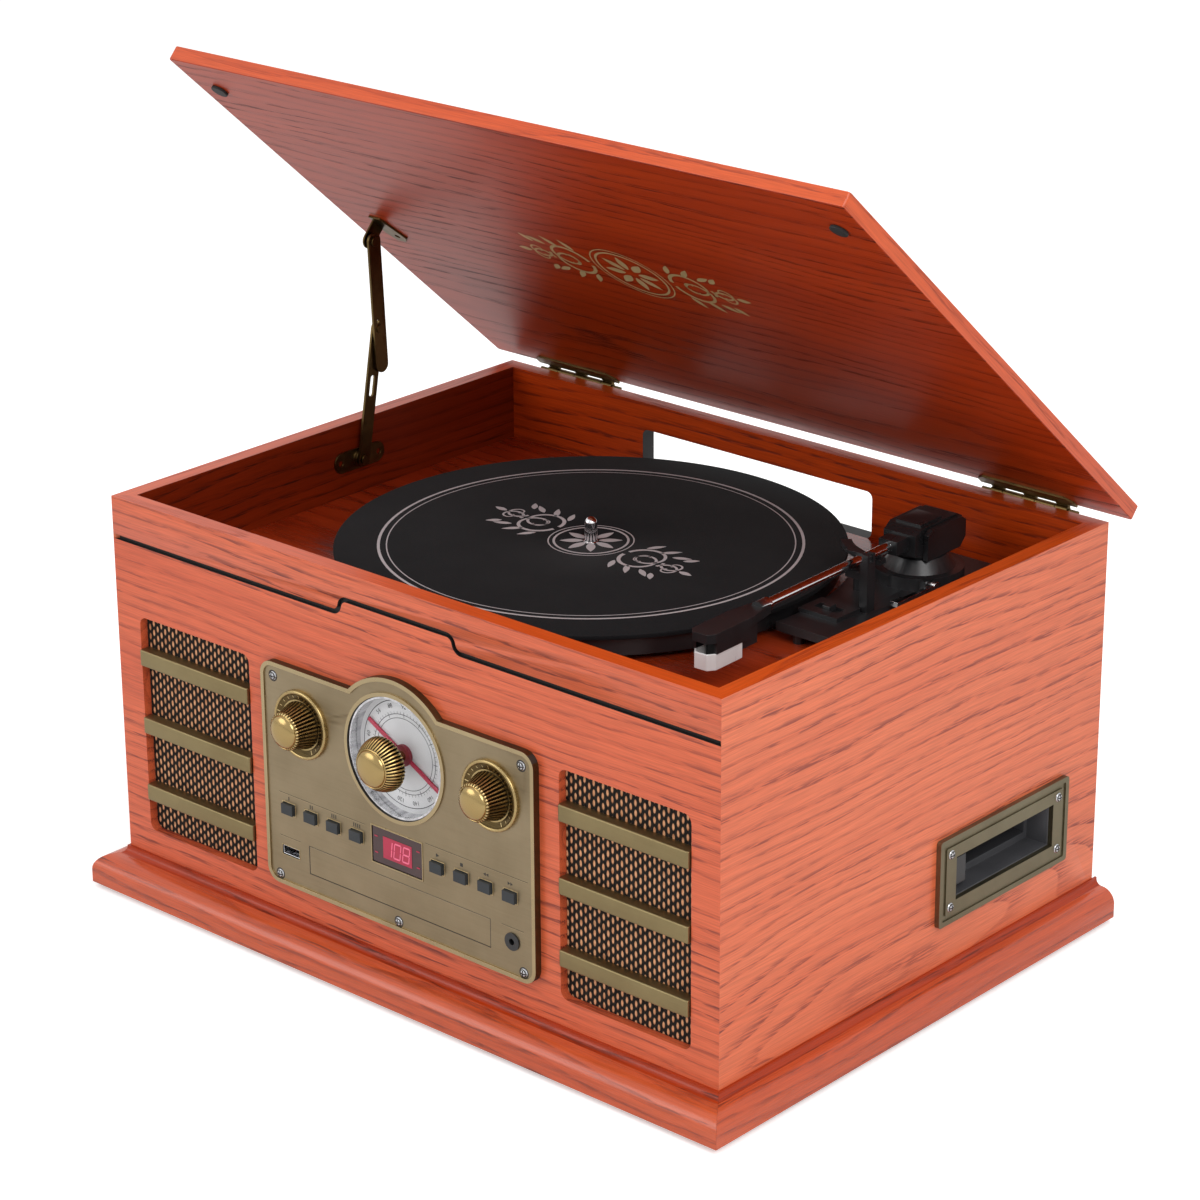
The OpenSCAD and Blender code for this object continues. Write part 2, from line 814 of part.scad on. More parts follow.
module fascia_plate() {
    color("darkkhaki") difference() {
        union() {
            facing(front_y, plate_t) plate_outline(0);
            facing(face_y + eps, rim_h + eps) difference() {
                plate_outline(0);
                plate_outline(rim_w);
            }
            facing(face_y + eps, rim_h + eps) translate([0, dial_z]) circle(dial_r + 2.2);
        }
        facing(front_y + eps, plate_t + rim_h + 3 * eps) {
            translate([0, dial_z]) circle(dial_r);
            for (s = [-1, 1]) translate([s * knob_x, dial_z]) circle(shaft_r + slide_c);
            for (i = [1:8]) translate([button_at(i), button_z])
                square([button_w + 2 * slide_c, button_h + 2 * slide_c], center = true);
            translate([0, display_z])
                square([display_w + 2 * slide_c, display_h + 2 * slide_c], center = true);
            translate([0, drawer_z]) square([drawer_w + 2 * slide_c, drawer_h + 2 * slide_c], center = true);
            translate([usb_x, socket_z]) square([usb_w, usb_h], center = true);
            translate([jack_x, socket_z]) circle(jack_r + slide_c);
            plate_screw_holes();
        }
    }
}

module plate_screw_holes() {
    for (s = [-1, 1], z = [screw_low_z, screw_high_z]) translate([s * screw_x, z]) circle(screw_r + run_c);
    translate([0, screw_low_z]) circle(screw_r + run_c);
}

// Pan-head screw pointing into the cabinet, head on the plane y0
module screw(x, z, y0) {
    crown_r = screw_head_r * 1.2;
    axis_front(x, z, y0 + screw_l) cylinder(r = screw_r, h = screw_l + eps);
    axis_front(x, z, y0) difference() {
        intersection() {
            cylinder(r = screw_head_r, h = screw_head_h);
            translate([0, 0, screw_head_h - crown_r]) sphere(r = crown_r);
        }
        for (a = [0, 90]) rotate(a) translate([-cross_l / 2, -cross_w / 2, screw_head_h * 0.6])
            cube([cross_l, cross_w, screw_head_h]);
    }
}

module panel_screws() {
    color("silver") {
        for (s = [-1, 1], z = [screw_low_z, screw_high_z]) screw(s * screw_x, z, face_y);
        screw(0, screw_low_z, face_y);
        for (sy = [-1, 1], sz = [-1, 1])
            translate([side_x + bezel_t, bezel_y + sy * bezel_screw_y, bezel_z + sz * bezel_screw_z])
                rotate([0, 0, 90]) screw(0, 0, 0);
    }
}

module dial_face() {
    wall_r = dial_r - slide_c;
    color("silver") axis_front(0, dial_z, face_y + dial_depth + dial_floor) difference() {
        cylinder(r = wall_r, h = dial_depth + dial_floor);
        translate([0, 0, dial_floor]) cylinder(r = wall_r - dial_wall, h = dial_depth + dial_floor);
        translate([0, 0, -eps]) cylinder(r = shaft_r + slide_c, h = 2 * dial_floor);
    }
}

module dial_lens() {
    color("lightcyan") axis_front(0, dial_z, face_y + lens_drop) difference() {
        cylinder(r = dial_r - slide_c - dial_wall, h = lens_t);
        translate([0, 0, -eps]) cylinder(r = shaft_r + slide_c, h = lens_t + 2 * eps);
    }
}

module dial_pointer() {
    pointer_l = dial_r - 5.5;
    color("crimson") axis_front(0, dial_z, face_y + dial_depth - 0.5) difference() {
        union() {
            cylinder(r = hub_r, h = hub_h);
            rotate(pointer_turn) for (a = [0, 180]) rotate(a) translate([0, -pointer_w / 2, 0])
                cube([pointer_l, pointer_w, pointer_t]);
        }
        translate([0, 0, -eps]) cylinder(r = shaft_r, h = hub_h + 2 * eps);
    }
}

// Turned body of a knob: straight taper to a shoulder, then a shallow dome
module knob_body(r, l, top_r) {
    dome_r = (top_r * top_r + dome_h * dome_h) / (2 * dome_h);
    cylinder(r1 = r, r2 = top_r, h = l - dome_h);
    translate([0, 0, l - dome_h]) intersection() {
        cylinder(r = top_r, h = dome_h);
        translate([0, 0, dome_h - dome_r]) sphere(r = dome_r);
    }
}

module fluted_knob(r, l, top_r, flutes, shaft_l) {
    lean = atan((r - top_r) / (l - dome_h));
    difference() {
        knob_body(r, l, top_r);
        for (i = [0:flutes - 1]) rotate(i * 360 / flutes)
            translate([r + flute_out, 0, -1]) rotate([0, -lean, 0])
                cylinder(r = flute_r, h = l - dome_h + 0.5, $fn = 16);
    }
    translate([0, 0, -shaft_l]) cylinder(r = shaft_r, h = shaft_l + 1);
}

module side_knob(x) {
    foot_y = face_y - collar_floor - slide_c;
    color("goldenrod") axis_front(x, dial_z, foot_y)
        fluted_knob(knob_r, knob_l - collar_floor, knob_r * knob_taper, 36, shaft_end - foot_y);
}

module function_knob() {
    side_knob(-knob_x);
}

module volume_knob() {
    side_knob(knob_x);
}

module tuning_knob() {
    foot_y = face_y - tuning_gap;
    color("goldenrod") axis_front(0, dial_z, foot_y)
        fluted_knob(tuning_r, tuning_l, tuning_r * tuning_taper, 44, shaft_end - foot_y);
}

module knob_collars() {
    color("gold") for (s = [-1, 1]) axis_front(s * knob_x, dial_z, face_y) difference() {
        union() {
            cylinder(r = collar_r, h = collar_floor);
            rotate_extrude() translate([collar_r - collar_bead, collar_floor]) circle(collar_bead, $fn = 32);
        }
        translate([0, 0, -eps]) cylinder(r = shaft_r + slide_c, h = 4);
    }
}

// Button with a flange behind the plate and a stem that reaches the switch
module push_button(i) {
    stem_end = pcb_y - switch_t - button_travel - slide_c;
    color("dimgray") {
        facing(stem_end, stem_end - front_y - flange_t) translate([button_at(i), button_z]) circle(stem_r);
        facing(front_y + slide_c + flange_t, flange_t) translate([button_at(i), button_z])
            square([button_w + 2 * flange_over, button_h + 2 * flange_over], center = true);
        facing(front_y + slide_c + eps, plate_t + button_out + slide_c) translate([button_at(i), button_z])
            square([button_w, button_h], center = true);
    }
}

module display_window() {
    color("darkred") {
        facing(front_y, plate_t - 0.2) translate([0, display_z])
            square([display_w, display_h], center = true);
        facing(front_y + 6, 6) translate([0, display_z])
            square([display_w + 5, display_h - 3], center = true);
        for (s = [-1, 1]) facing(pcb_y, pcb_y - front_y - 6)
            translate([s * display_w / 3, display_z]) square([3, 6], center = true);
    }
}

module usb_socket() {
    color("silver") difference() {
        facing(front_y + socket_deep, socket_deep + plate_t - 0.4) translate([usb_x, socket_z])
            square([usb_w - 0.2, usb_h - 0.2], center = true);
        facing(front_y + socket_deep - 2, 20) translate([usb_x, socket_z])
            square([usb_w - 0.2 - 2 * usb_wall, usb_h - 0.2 - 2 * usb_wall], center = true);
    }
    color("white") facing(front_y + socket_deep - 1, socket_deep - 3) translate([usb_x, socket_z + 0.9])
        square([usb_w - 3, 1.4], center = true);
}

module headphone_jack() {
    color("black") difference() {
        union() {
            axis_front(jack_x, socket_z, front_y + socket_deep)
                cylinder(r = jack_r, h = socket_deep + plate_t);
            axis_front(jack_x, socket_z, face_y) cylinder(r = jack_nut_r, h = 0.8);
            facing(front_y + socket_deep, socket_deep - 0.5) translate([jack_x, socket_z])
                square([jack_body, jack_body], center = true);
        }
        axis_front(jack_x, socket_z, front_y + 10) cylinder(r = jack_bore, h = 20);
    }
}

// Upright control board with the knob shafts' bushings and the button switches, and the power board
module circuit_boards() {
    board_low = drawer_z + drawer_h / 2 + 3;
    board_high = plate_z + cutout_high + 20;
    color("darkgreen") difference() {
        facing(pcb_y + pcb_t, pcb_t) translate([0, (board_low + board_high) / 2])
            square([2 * cutout_half - 6, board_high - board_low], center = true);
        for (x = [-knob_x, 0, knob_x]) axis_front(x, dial_z, pcb_y + pcb_t + eps)
            cylinder(r = shaft_r + 2, h = pcb_t + 2 * eps);
    }
    color("silver") for (x = [-knob_x, 0, knob_x]) difference() {
        axis_front(x, dial_z, pcb_y + pcb_t + pot_h) cylinder(r = pot_r, h = pot_h);
        axis_front(x, dial_z, pcb_y + pcb_t + pot_h + eps) cylinder(r = shaft_r, h = pot_h + 1);
    }
    color("silver") for (x = [-knob_x, 0, knob_x]) axis_front(x, dial_z, pcb_y) difference() {
        cylinder(r = pot_r - 1, h = bush_l);
        translate([0, 0, 1]) cylinder(r = shaft_r + run_c, h = bush_l);
    }
    color("black") for (i = [1:8]) facing(pcb_y, switch_t) translate([button_at(i), button_z])
        square([6, 6], center = true);
    color("darkgreen") for (x = [usb_x, jack_x])
        facing(front_y + socket_deep + pcb_t, pcb_t) translate([x, socket_z])
        square([16, 18], center = true);
    color("darkgreen") translate([power_x, power_y, board_z + power_up]) cube([power_w, power_d, pcb_t]);
    color("gray") for (x = [post_in, power_w - post_in], y = [post_in, power_d - post_in])
        translate([power_x + x, power_y + y, board_z]) cylinder(r = 3, h = power_up);
    translate([power_x, power_y, board_z + power_up + pcb_t]) {
        color("dimgray") translate([12, 22, 0]) {
            cube([core, core, core_h]);
            translate([-coil_over, 6, 6]) cube([core + 2 * coil_over, core_h, can_h]);
        }
        color("navy") for (k = [0:2]) translate([76, 20 + k * can_step, 0]) cylinder(r = can_r, h = can_h);
    }
}

// ---------------------------------------------------------------- disc drawer

module cd_drawer() {
    color("darkkhaki") facing(front_y, plate_t) translate([0, drawer_z])
        square([drawer_w, drawer_h], center = true);
    color("black") difference() {
        translate([-tray_w / 2, front_y, tray_z]) cube([tray_w, tray_l, tray_t]);
        translate([0, disc_y, tray_z + 3]) cylinder(r = disc_r, h = tray_t);
        translate([-20, disc_y - 12, tray_z - eps]) cube([40, tray_l, tray_t + 1]);
    }
}

module cd_mechanism() {
    rail_in = tray_w / 2 + slide_c;
    low = tray_z - 7;
    y0 = in_front_y + 2;
    length = tray_l - 8;
    color("gray") difference() {
        union() {
            translate([-rail_in - 5, y0, low]) cube([2 * rail_in + 10, length, 2]);
            for (s = [0, 1]) mirror([s, 0, 0]) {
                translate([rail_in, y0, low]) cube([5, length, 21]);
                translate([rail_in - 6, y0, low + 2]) cube([7, length, 5 - slide_c]);
            }
            translate([-rail_in - 5, disc_y - 14, low + 19]) cube([2 * rail_in + 10, 28, 2]);
        }
        translate([0, disc_y, low + 18]) cylinder(r = 8, h = 4);
    }
    color("gray") translate([0, disc_y, low]) cylinder(r = 9, h = 9);
    color("gray") translate([0, disc_y, low + 8]) cylinder(r = 7.4, h = 3.4);
    color("gray") for (x = [-1, 1], y = [12, length - 12])
        translate([x * (rail_in - 8), y0 + y, board_z]) cylinder(r = 4, h = low - board_z);
}

// ---------------------------------------------------------------- speakers

module speaker_grilles() {
    color("peru") for (s = [-1, 1]) translate([s * grille_x, 0, grille_z]) {
        facing(front_y + cloth_back, cloth_t)
            rounded(grille_w - 2 * slide_c, grille_h - 2 * slide_c, grille_r - slide_c);
        facing(in_front_y, wall_t - cloth_back) difference() {
            rounded(grille_w - 2 * slide_c, grille_h - 2 * slide_c, grille_r - slide_c);
            rounded(grille_w - 8, grille_h - 8, grille_r - 2);
        }
    }
}

module grille_bars() {
    color("darkkhaki") for (s = [-1, 1], k = [-1, 0, 1])
        facing(front_y + cloth_back - cloth_t, bar_out + cloth_back - cloth_t)
            translate([s * grille_x, grille_z + k * bar_step])
            square([grille_w - 1.4, bar_h], center = true);
}

module speaker_drivers() {
    for (s = [-1, 1]) {
        color("black") facing(in_front_y + frame_t, frame_t) translate([s * grille_x, grille_z]) difference() {
            rounded(grille_w + 8, grille_h + 10, grille_r);
            circle(cone_r);
        }
        color("dimgray") axis_front(s * grille_x, grille_z, in_front_y + driver_deep) difference() {
            union() {
                cylinder(r = magnet_r, h = magnet_h);
                translate([0, 0, magnet_h - 2])
                    cylinder(r1 = cone_low, r2 = cone_rim, h = driver_deep - frame_t - magnet_h + 2);
            }
            translate([0, 0, magnet_h + 2])
                cylinder(r1 = cone_low - 8, r2 = cone_r, h = driver_deep - frame_t - magnet_h - 2 + eps);
        }
    }
}

// ---------------------------------------------------------------- cassette slot

module cassette_bezel() {
    color("darkkhaki") difference() {
        union() {
            sideways(side_x, bezel_t - 0.8) translate([bezel_y, bezel_z]) rounded(bezel_l, bezel_h, 2);
            sideways(side_x + bezel_t - 1, 1) translate([bezel_y, bezel_z]) difference() {
                rounded(bezel_l, bezel_h, 2);
                rounded(bezel_l - 6, bezel_h - 6, 1);
            }
            sideways(side_x + bezel_t - 1, 1) translate([bezel_y, bezel_z])
                rounded(bezel_l - 11, bezel_h - 11, 1);
        }
        sideways(side_x - eps, bezel_t + 2 * eps) translate([bezel_y, bezel_z]) {
            square([slot_l, slot_h], center = true);
        }
        sideways(side_x - eps, bezel_t + 2 * eps) bezel_screw_holes();
    }
}

module bezel_screw_holes() {
    for (sy = [-1, 1], sz = [-1, 1])
        translate([bezel_y + sy * bezel_screw_y, bezel_z + sz * bezel_screw_z]) circle(screw_r + run_c);
}

// Housing of the cassette deck: a box with a mouth, a narrower throat and a fixed lip under its roof
module cassette_mechanism() {
    throat_y = bezel_y + slot_l / 2 - throat_l - 3;
    color("dimgray") difference() {
        union() {
            sideways(side_x - housing_deep, housing_deep) translate([bezel_y, bezel_z])
                square([slot_l + 3, slot_h + 3], center = true);
            sideways(in_x - 2, 2) translate([bezel_y, bezel_z])
                square([slot_l + 20, slot_h + 18], center = true);
        }
        sideways(side_x - mouth_deep, mouth_deep + 6) translate([bezel_y, bezel_z])
            square([slot_l - 1, slot_h - 1], center = true);
        translate([side_x - throat_deep, throat_y, bezel_z - 8]) cube([throat_deep - 6, throat_l, throat_h]);
        translate([side_x - 30, bezel_y - slot_l / 2 + 3, bezel_z - key_h / 2])
            cube([30, key_w + 2 * slide_c, key_h]);
    }
    color("gray") translate([side_x - mouth_deep, throat_y + 4, bezel_z + 6.5]) cube([8, 52, 5]);
}

module cassette_eject_key() {
    color("black") translate([side_x - key_l - 2, bezel_y - slot_l / 2 + 3 + slide_c,
        bezel_z - key_h / 2 + slide_c])
        cube([key_l, key_w, key_h - 2 * slide_c]);
}

// ---------------------------------------------------------------- turntable

module spindle_bearing() {
    color("silver") at_spindle() {
        translate([0, 0, under_deck_z - 10]) cylinder(r = bearing_r + 2, h = 10 + deck_t + eps);
        translate([0, 0, deck_z]) cylinder(r = bearing_flange_r, h = 2);
        translate([0, 0, deck_z]) cylinder(r = bearing_r, h = platter_under - 0.6 - deck_z);
        translate([0, 0, deck_z]) cylinder(r = shank_r, h = mat_top - deck_z);
        translate([0, 0, deck_z]) cylinder(r = spindle_r, h = mat_top + spindle_h - spindle_r - deck_z);
        translate([0, 0, mat_top + spindle_h - spindle_r]) sphere(r = spindle_r);
    }
}

module platter() {
    color("dimgray") at_spindle() difference() {
        translate([0, 0, platter_z]) cylinder(r = platter_r, h = platter_h);
        translate([0, 0, platter_z - eps]) difference() {
            cylinder(r = platter_r - rim_wall, h = platter_h - platter_skin);
            cylinder(r = bearing_r + 8, h = platter_h);
            difference() {
                cylinder(r = ring_r, h = platter_h);
                cylinder(r = ring_r - ring_wall, h = platter_h);
            }
        }
        translate([0, 0, platter_z - 1]) difference() {
            cylinder(r = ring_r + 3, h = 2.4);
            cylinder(r = bearing_r + 9, h = 3);
        }
        translate([0, 0, platter_z - eps]) cylinder(r = bearing_r + run_c, h = platter_h - platter_skin);
        translate([0, 0, platter_z - eps]) cylinder(r = shank_r + run_c, h = platter_h + 1);
    }
}

module slip_mat() {
    color("black") at_spindle() translate([0, 0, platter_top]) difference() {
        cylinder(r = mat_r, h = mat_t);
        translate([0, 0, -eps]) cylinder(r = shank_r + slide_c, h = mat_t + 1);
    }
}

// Flat belt round ring and pulley: an arc on each and the two straight runs
module drive_belt() {
    ring = ring_r + slide_c;
    small = pulley_r + slide_c;
    lean = acos((ring - small) / motor_reach);
    color("black") at_spindle() translate([0, 0, belt_z]) {
        rotate(lean - 180) belt_arc(ring, 360 - 2 * lean);
        translate([-motor_reach, 0, 0]) rotate(180 - lean) belt_arc(small, 2 * lean);
        for (m = [0, 1]) mirror([0, m, 0]) rotate(180 - lean)
            translate([ring, 0, 0]) cube([belt_t, motor_reach * sin(lean), belt_w]);
    }
}

module belt_arc(r, turn) {
    rotate_extrude(angle = turn) translate([r, 0]) square([belt_t, belt_w]);
}

module turntable_motor() {
    color("silver") at_spindle() translate([-motor_reach, 0, 0]) difference() {
        union() {
            translate([0, 0, under_deck_z - motor_flange_t - motor_h]) cylinder(r = motor_r, h = motor_h);
            translate([0, 0, under_deck_z - motor_flange_t]) cylinder(r = motor_flange_r, h = motor_flange_t);
        }
        translate([0, 0, under_deck_z - motor_shaft_l])
            cylinder(r = motor_shaft_r + run_c, h = motor_shaft_l + eps);
    }
}

module motor_pulley() {
    color("goldenrod") at_spindle() translate([-motor_reach, 0, 0]) {
        translate([0, 0, under_deck_z - motor_shaft_l + slide_c])
            cylinder(r = motor_shaft_r, h = motor_shaft_l + belt_z - under_deck_z);
        translate([0, 0, belt_z - pulley_lip]) cylinder(r = pulley_r, h = belt_w + 2 * pulley_lip);
    }
}

// ---------------------------------------------------------------- tonearm

// Plate of the arm base, from the arm's pivot
base_plan = [[-18.5, -104], [25.5, -104], [37.5, -88], [37.5, 40], [-34.5, 40], [-40.5, 10], [-28.5, -32]];
base_legs = [[-4.5, -98], [29.5, -80], [29.5, 30], [-26.5, 30]];

module tonearm_base() {
    color("black") difference() {
        union() {
            translate([0, 0, plate_low]) linear_extrude(plate_high - plate_low) difference() {
                translate([pivot_x, pivot_y]) polygon(base_plan);
                translate([spindle_x, spindle_y]) circle(mat_r + 3.5);
            }
            translate([pivot_x, pivot_y, plate_high]) cylinder(r = boss_r, h = boss_top - plate_high);
            translate([pivot_x, pivot_y, boss_top])
                cylinder(r1 = cone_r1, r2 = cone_r2, h = cone_top - boss_top);
            translate([switch_x - switch_run / 2 - 5, switch_y - 10, plate_high])
                cube([switch_run + 10, 20, 2.4]);
            translate([cue_x - 5, cue_y - 5, plate_high]) cube([4, 10, cue_z - plate_high + 3]);
        }
        translate([pivot_x, pivot_y, deck_z]) cylinder(r = arm_shaft_r + run_c, h = 40);
        on_arm() translate([-lift_reach * sin(lift_turn), -lift_reach * cos(lift_turn), plate_low - 1])
            cylinder(r = lift_r + run_c, h = 20);
        translate([switch_x - switch_run / 2, switch_y - switch_d / 2 - slide_c, plate_high + 0.4])
            cube([switch_run, switch_d + 2 * slide_c, 3]);
        translate([cue_x - 6, cue_y, cue_z]) rotate([0, 90, 0]) cylinder(r = cue_r + run_c, h = 6);
    }
    color("silver") for (p = base_legs)
        translate([pivot_x + p[0], pivot_y + p[1], deck_z]) cylinder(r = leg_r, h = plate_low - deck_z);
    color("black") on_arm() arm_rest();
}

// Post beside the parked arm with a ledge under the tube and two ears for the clip
module arm_rest() {
    ledge_t = 4;
    translate([post_x, -rest_reach - post_w / 2, plate_high]) cube([5, post_w, clip_z - 3 - plate_high]);
    translate([-3, -rest_reach - post_w / 2, arm_z - tube_r - slide_c - ledge_t])
        cube([post_x + 4, post_w, ledge_t]);
    for (s = [-1, 1]) translate([post_x + 1, -rest_reach + s * 2.6 - 0.9, clip_z - 3.1]) difference() {
        cube([4, 1.8, 5]);
        translate([2, -eps, 3.1]) rotate([-90, 0, 0]) cylinder(r = clip_pin_r + run_c, h = 2);
    }
}

module arm_clip() {
    color("black") on_arm() {
        translate([clip_x, -rest_reach - clip_w / 2, clip_z]) rotate([-90, 0, 0])
            cylinder(r = clip_r, h = clip_w);
        translate([clip_x, -rest_reach - 3.3, clip_z]) rotate([-90, 0, 0]) cylinder(r = clip_pin_r, h = 6.6);
        translate([clip_x - 14.5, -rest_reach - clip_w / 2, clip_z - 0.2]) cube([14.5, clip_w, clip_r + 0.2]);
    }
}

// Arc under the arm tube on its own post
module lift_platform() {
    low = arm_z - tube_r - slide_c - lift_t;
    color("dimgray") on_arm() {
        intersection() {
            translate([0, 0, low]) difference() {
                cylinder(r = lift_reach + lift_t, h = lift_t);
                translate([0, 0, -eps]) cylinder(r = lift_reach - lift_t, h = lift_t + 1);
            }
            translate([0, 0, low - 1]) linear_extrude(lift_t + 2)
                polygon([[0, 0], for (a = [-6, 22, 48]) 70 * [-sin(a), -cos(a)]]);
        }
        translate([-lift_reach * sin(lift_turn), -lift_reach * cos(lift_turn), plate_low])
            cylinder(r = lift_r, h = low + 2 - plate_low);
    }
}

module cue_lever() {
    color("silver") {
        translate([cue_x - 5, cue_y, cue_z]) rotate([0, 90, 0]) cylinder(r = cue_r, h = 5 + cue_hub_l);
        translate([cue_x, cue_y, cue_z]) rotate([0, 90, 0]) cylinder(r = cue_hub_r, h = cue_hub_l);
        translate([cue_x, cue_y - cue_l, cue_z - 1]) cube([cue_hub_l, cue_l, 2]);
        translate([cue_x - 1, cue_y - cue_l - 6, cue_z - 1.5]) cube([cue_hub_l + 2, 8, 3]);
    }
}

module speed_switch() {
    color("dimgray") translate([switch_x - switch_w / 2, switch_y - switch_d / 2, plate_high + 0.4 + slide_c])
        cube([switch_w, switch_d, 3.6]);
}

// Fork that turns on the base and carries the arm between its cheeks
module tonearm_yoke() {
    low = cone_top + slide_c;
    high = arm_z + 6.5;
    color("black") on_arm() {
        translate([0, 0, deck_z + 4]) cylinder(r = arm_shaft_r, h = low - deck_z - 3);
        translate([0, 0, low]) cylinder(r = 13, h = 2);
        translate([-cheek_in - cheek_t, -9, low]) cube([2 * (cheek_in + cheek_t), 18, 2]);
        for (s = [0, 1]) mirror([s, 0, 0]) {
            sideways(cheek_in, cheek_t)
                polygon([[-12, low], [19, low], [24, low + 5], [24, high - 2.5], [20, high], [-8, high], [-12, high - 2.5]]);
            translate([cheek_in - 3, 0, arm_z]) rotate([0, 90, 0]) cylinder(r = pivot_pin_r, h = 4);
        }
    }
}

module headshell_plan() {
    back = shell_l - arm_l;
    polygon([for (s = [1, -1], k = [0:3]) let (i = s > 0 ? k : 3 - k)
        [s * [shell_neck, shell_w, shell_w, shell_nose][i], [back, back - 20, 4 - arm_l, -arm_l][i]]]);
}

module tonearm() {
    block_low = cone_top + 4;
    block_high = arm_z + 7.6;
    tube_end = -arm_l + shell_l - 4;
    color("black") on_arm() difference() {
        union() {
            sideways(-cheek_in + slide_c, 2 * (cheek_in - slide_c))
                polygon([[-19, block_low], [20, block_low], [25, block_low + 4], [25, block_high - 2.6], [20, block_high],
                    [-13, block_high], [-19, block_high - 2.6]]);
            translate([-8.2, -11, block_high - 0.6]) cube([16.4, 20, 1.8]);
            translate([-6, -30, arm_z - 4]) cube([12, 12, 8]);
        }
        for (s = [0, 1]) mirror([s, 0, 0])
            translate([cheek_in - 3.4, 0, arm_z]) rotate([0, 90, 0]) cylinder(r = pivot_pin_r + run_c, h = 4);
    }
    color("silver") on_arm() translate([0, -29, arm_z]) rotate([90, 0, 0])
        cylinder(r = tube_r, h = -29 - tube_end);
    color("black") on_arm() {
        translate([0, tube_end + 6, arm_z]) rotate([90, 0, 0]) cylinder(r = collar_tube_r, h = collar_l);
        translate([0, 0, arm_z - 3.5]) linear_extrude(shell_t) headshell_plan();
        for (s = [-1, 1]) translate([s * 6.8 - 0.8, -arm_l + 5, guard_z + guard_h])
            cube([1.6, 28, arm_z - guard_z - guard_h - 3]);
        translate([-5, -arm_l + 12, guard_z + 3.4]) cube([10, 30, arm_z - guard_z - 6]);
    }
}

// Open trough over the stylus, its nose tapered
module stylus_guard() {
    nose = -arm_l + 1;
    inner = guard_w - guard_wall;
    color("mistyrose") on_arm() difference() {
        translate([0, 0, guard_z]) linear_extrude(guard_h) polygon([[-guard_w, nose + guard_l], [guard_w, nose + guard_l],
            [guard_w, nose + 4], [4, nose], [-4, nose], [-guard_w, nose + 4]]);
        translate([0, 0, guard_z + guard_wall]) linear_extrude(guard_h)
            polygon([[-inner, nose + guard_l + 1], [inner, nose + guard_l + 1], [inner, nose + 4.6],
                [4 - guard_wall / 2, nose + guard_wall], [guard_wall / 2 - 4, nose + guard_wall], [-inner, nose + 4.6]]);
    }
}

// ---------------------------------------------------------------- rear sockets

module rear_sockets() {
    color("black") difference() {
        union() {
            facing(back_y + 2, 2) translate([sockets_x, sockets_z]) rounded(sockets_w, sockets_h, 3);
            facing(back_y, inlet_deep) translate([inlet_x, sockets_z])
                square([inlet_w + 2 * inlet_wall, inlet_h + 2 * inlet_wall + 1], center = true);
        }
        facing(back_y + 2 + eps, inlet_deep) translate([inlet_x, sockets_z]) rounded(inlet_w, inlet_h, 5.5);
        for (s = [0, 1]) axis_front(phono_x + s * phono_step, sockets_z, back_y + 4)
            cylinder(r = phono_r + 0.2, h = 10);
    }
    for (s = [0, 1]) axis_front(phono_x + s * phono_step, sockets_z, back_y + 2 + phono_out)
        color(s == 0 ? "white" : "red") difference() {
            cylinder(r = phono_r, h = phono_out + phono_in);
            translate([0, 0, -eps]) cylinder(r = phono_bore, h = phono_out + phono_in - phono_floor);
        }
}

plinth_moulding();
base_board();
rubber_feet();
front_panel();
left_panel();
right_panel();
rear_panel();
deck_board();
cabinet_hinge_leaves();
stay_wall_bracket();
fascia_plate();
panel_screws();
dial_face();
dial_lens();
knob_collars();
display_window();
usb_socket();
headphone_jack();
circuit_boards();
cd_mechanism();
speaker_grilles();
grille_bars();
speaker_drivers();
cassette_bezel();
cassette_mechanism();
turntable_motor();
spindle_bearing();
tonearm_base();
rear_sockets();
drive_belt();
lid_panel();
lid_bumpers();
lid_hinge_leaves();
stay_lid_bracket();
stay_upper_arm();
stay_lower_arm();
tuning_knob();
dial_pointer();
function_knob();
volume_knob();
push_button(1);  // button_1
push_button(2);  // button_2
push_button(3);  // button_3
push_button(4);  // button_4
push_button(5);  // button_5
push_button(6);  // button_6
push_button(7);  // button_7
push_button(8);  // button_8
cd_drawer();
cassette_eject_key();
platter();
slip_mat();
motor_pulley();
tonearm_yoke();
tonearm();
stylus_guard();
arm_clip();
cue_lever();
lift_platform();
speed_switch();
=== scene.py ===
import json
import math
import bmesh
import bpy
import numpy as np
from mathutils import Matrix, Vector

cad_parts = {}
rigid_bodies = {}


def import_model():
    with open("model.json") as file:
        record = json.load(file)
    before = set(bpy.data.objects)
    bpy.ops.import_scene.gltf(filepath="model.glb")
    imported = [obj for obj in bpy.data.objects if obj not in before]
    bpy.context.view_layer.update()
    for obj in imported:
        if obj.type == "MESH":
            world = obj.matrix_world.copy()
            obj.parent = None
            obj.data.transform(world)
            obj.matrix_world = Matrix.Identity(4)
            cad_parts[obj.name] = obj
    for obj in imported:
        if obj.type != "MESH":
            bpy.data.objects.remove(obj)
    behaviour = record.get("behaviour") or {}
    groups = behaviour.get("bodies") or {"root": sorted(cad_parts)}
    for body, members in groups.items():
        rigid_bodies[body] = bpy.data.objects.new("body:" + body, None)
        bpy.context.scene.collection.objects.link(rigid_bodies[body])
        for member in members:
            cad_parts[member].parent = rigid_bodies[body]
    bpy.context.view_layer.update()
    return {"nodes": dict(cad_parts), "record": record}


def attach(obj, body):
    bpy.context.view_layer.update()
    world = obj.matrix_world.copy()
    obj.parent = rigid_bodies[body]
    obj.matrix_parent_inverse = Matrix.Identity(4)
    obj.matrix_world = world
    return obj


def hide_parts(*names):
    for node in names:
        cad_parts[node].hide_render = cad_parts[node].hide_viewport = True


for leftover in list(bpy.data.objects):
    bpy.data.objects.remove(leftover)
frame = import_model()
nodes = frame["nodes"]
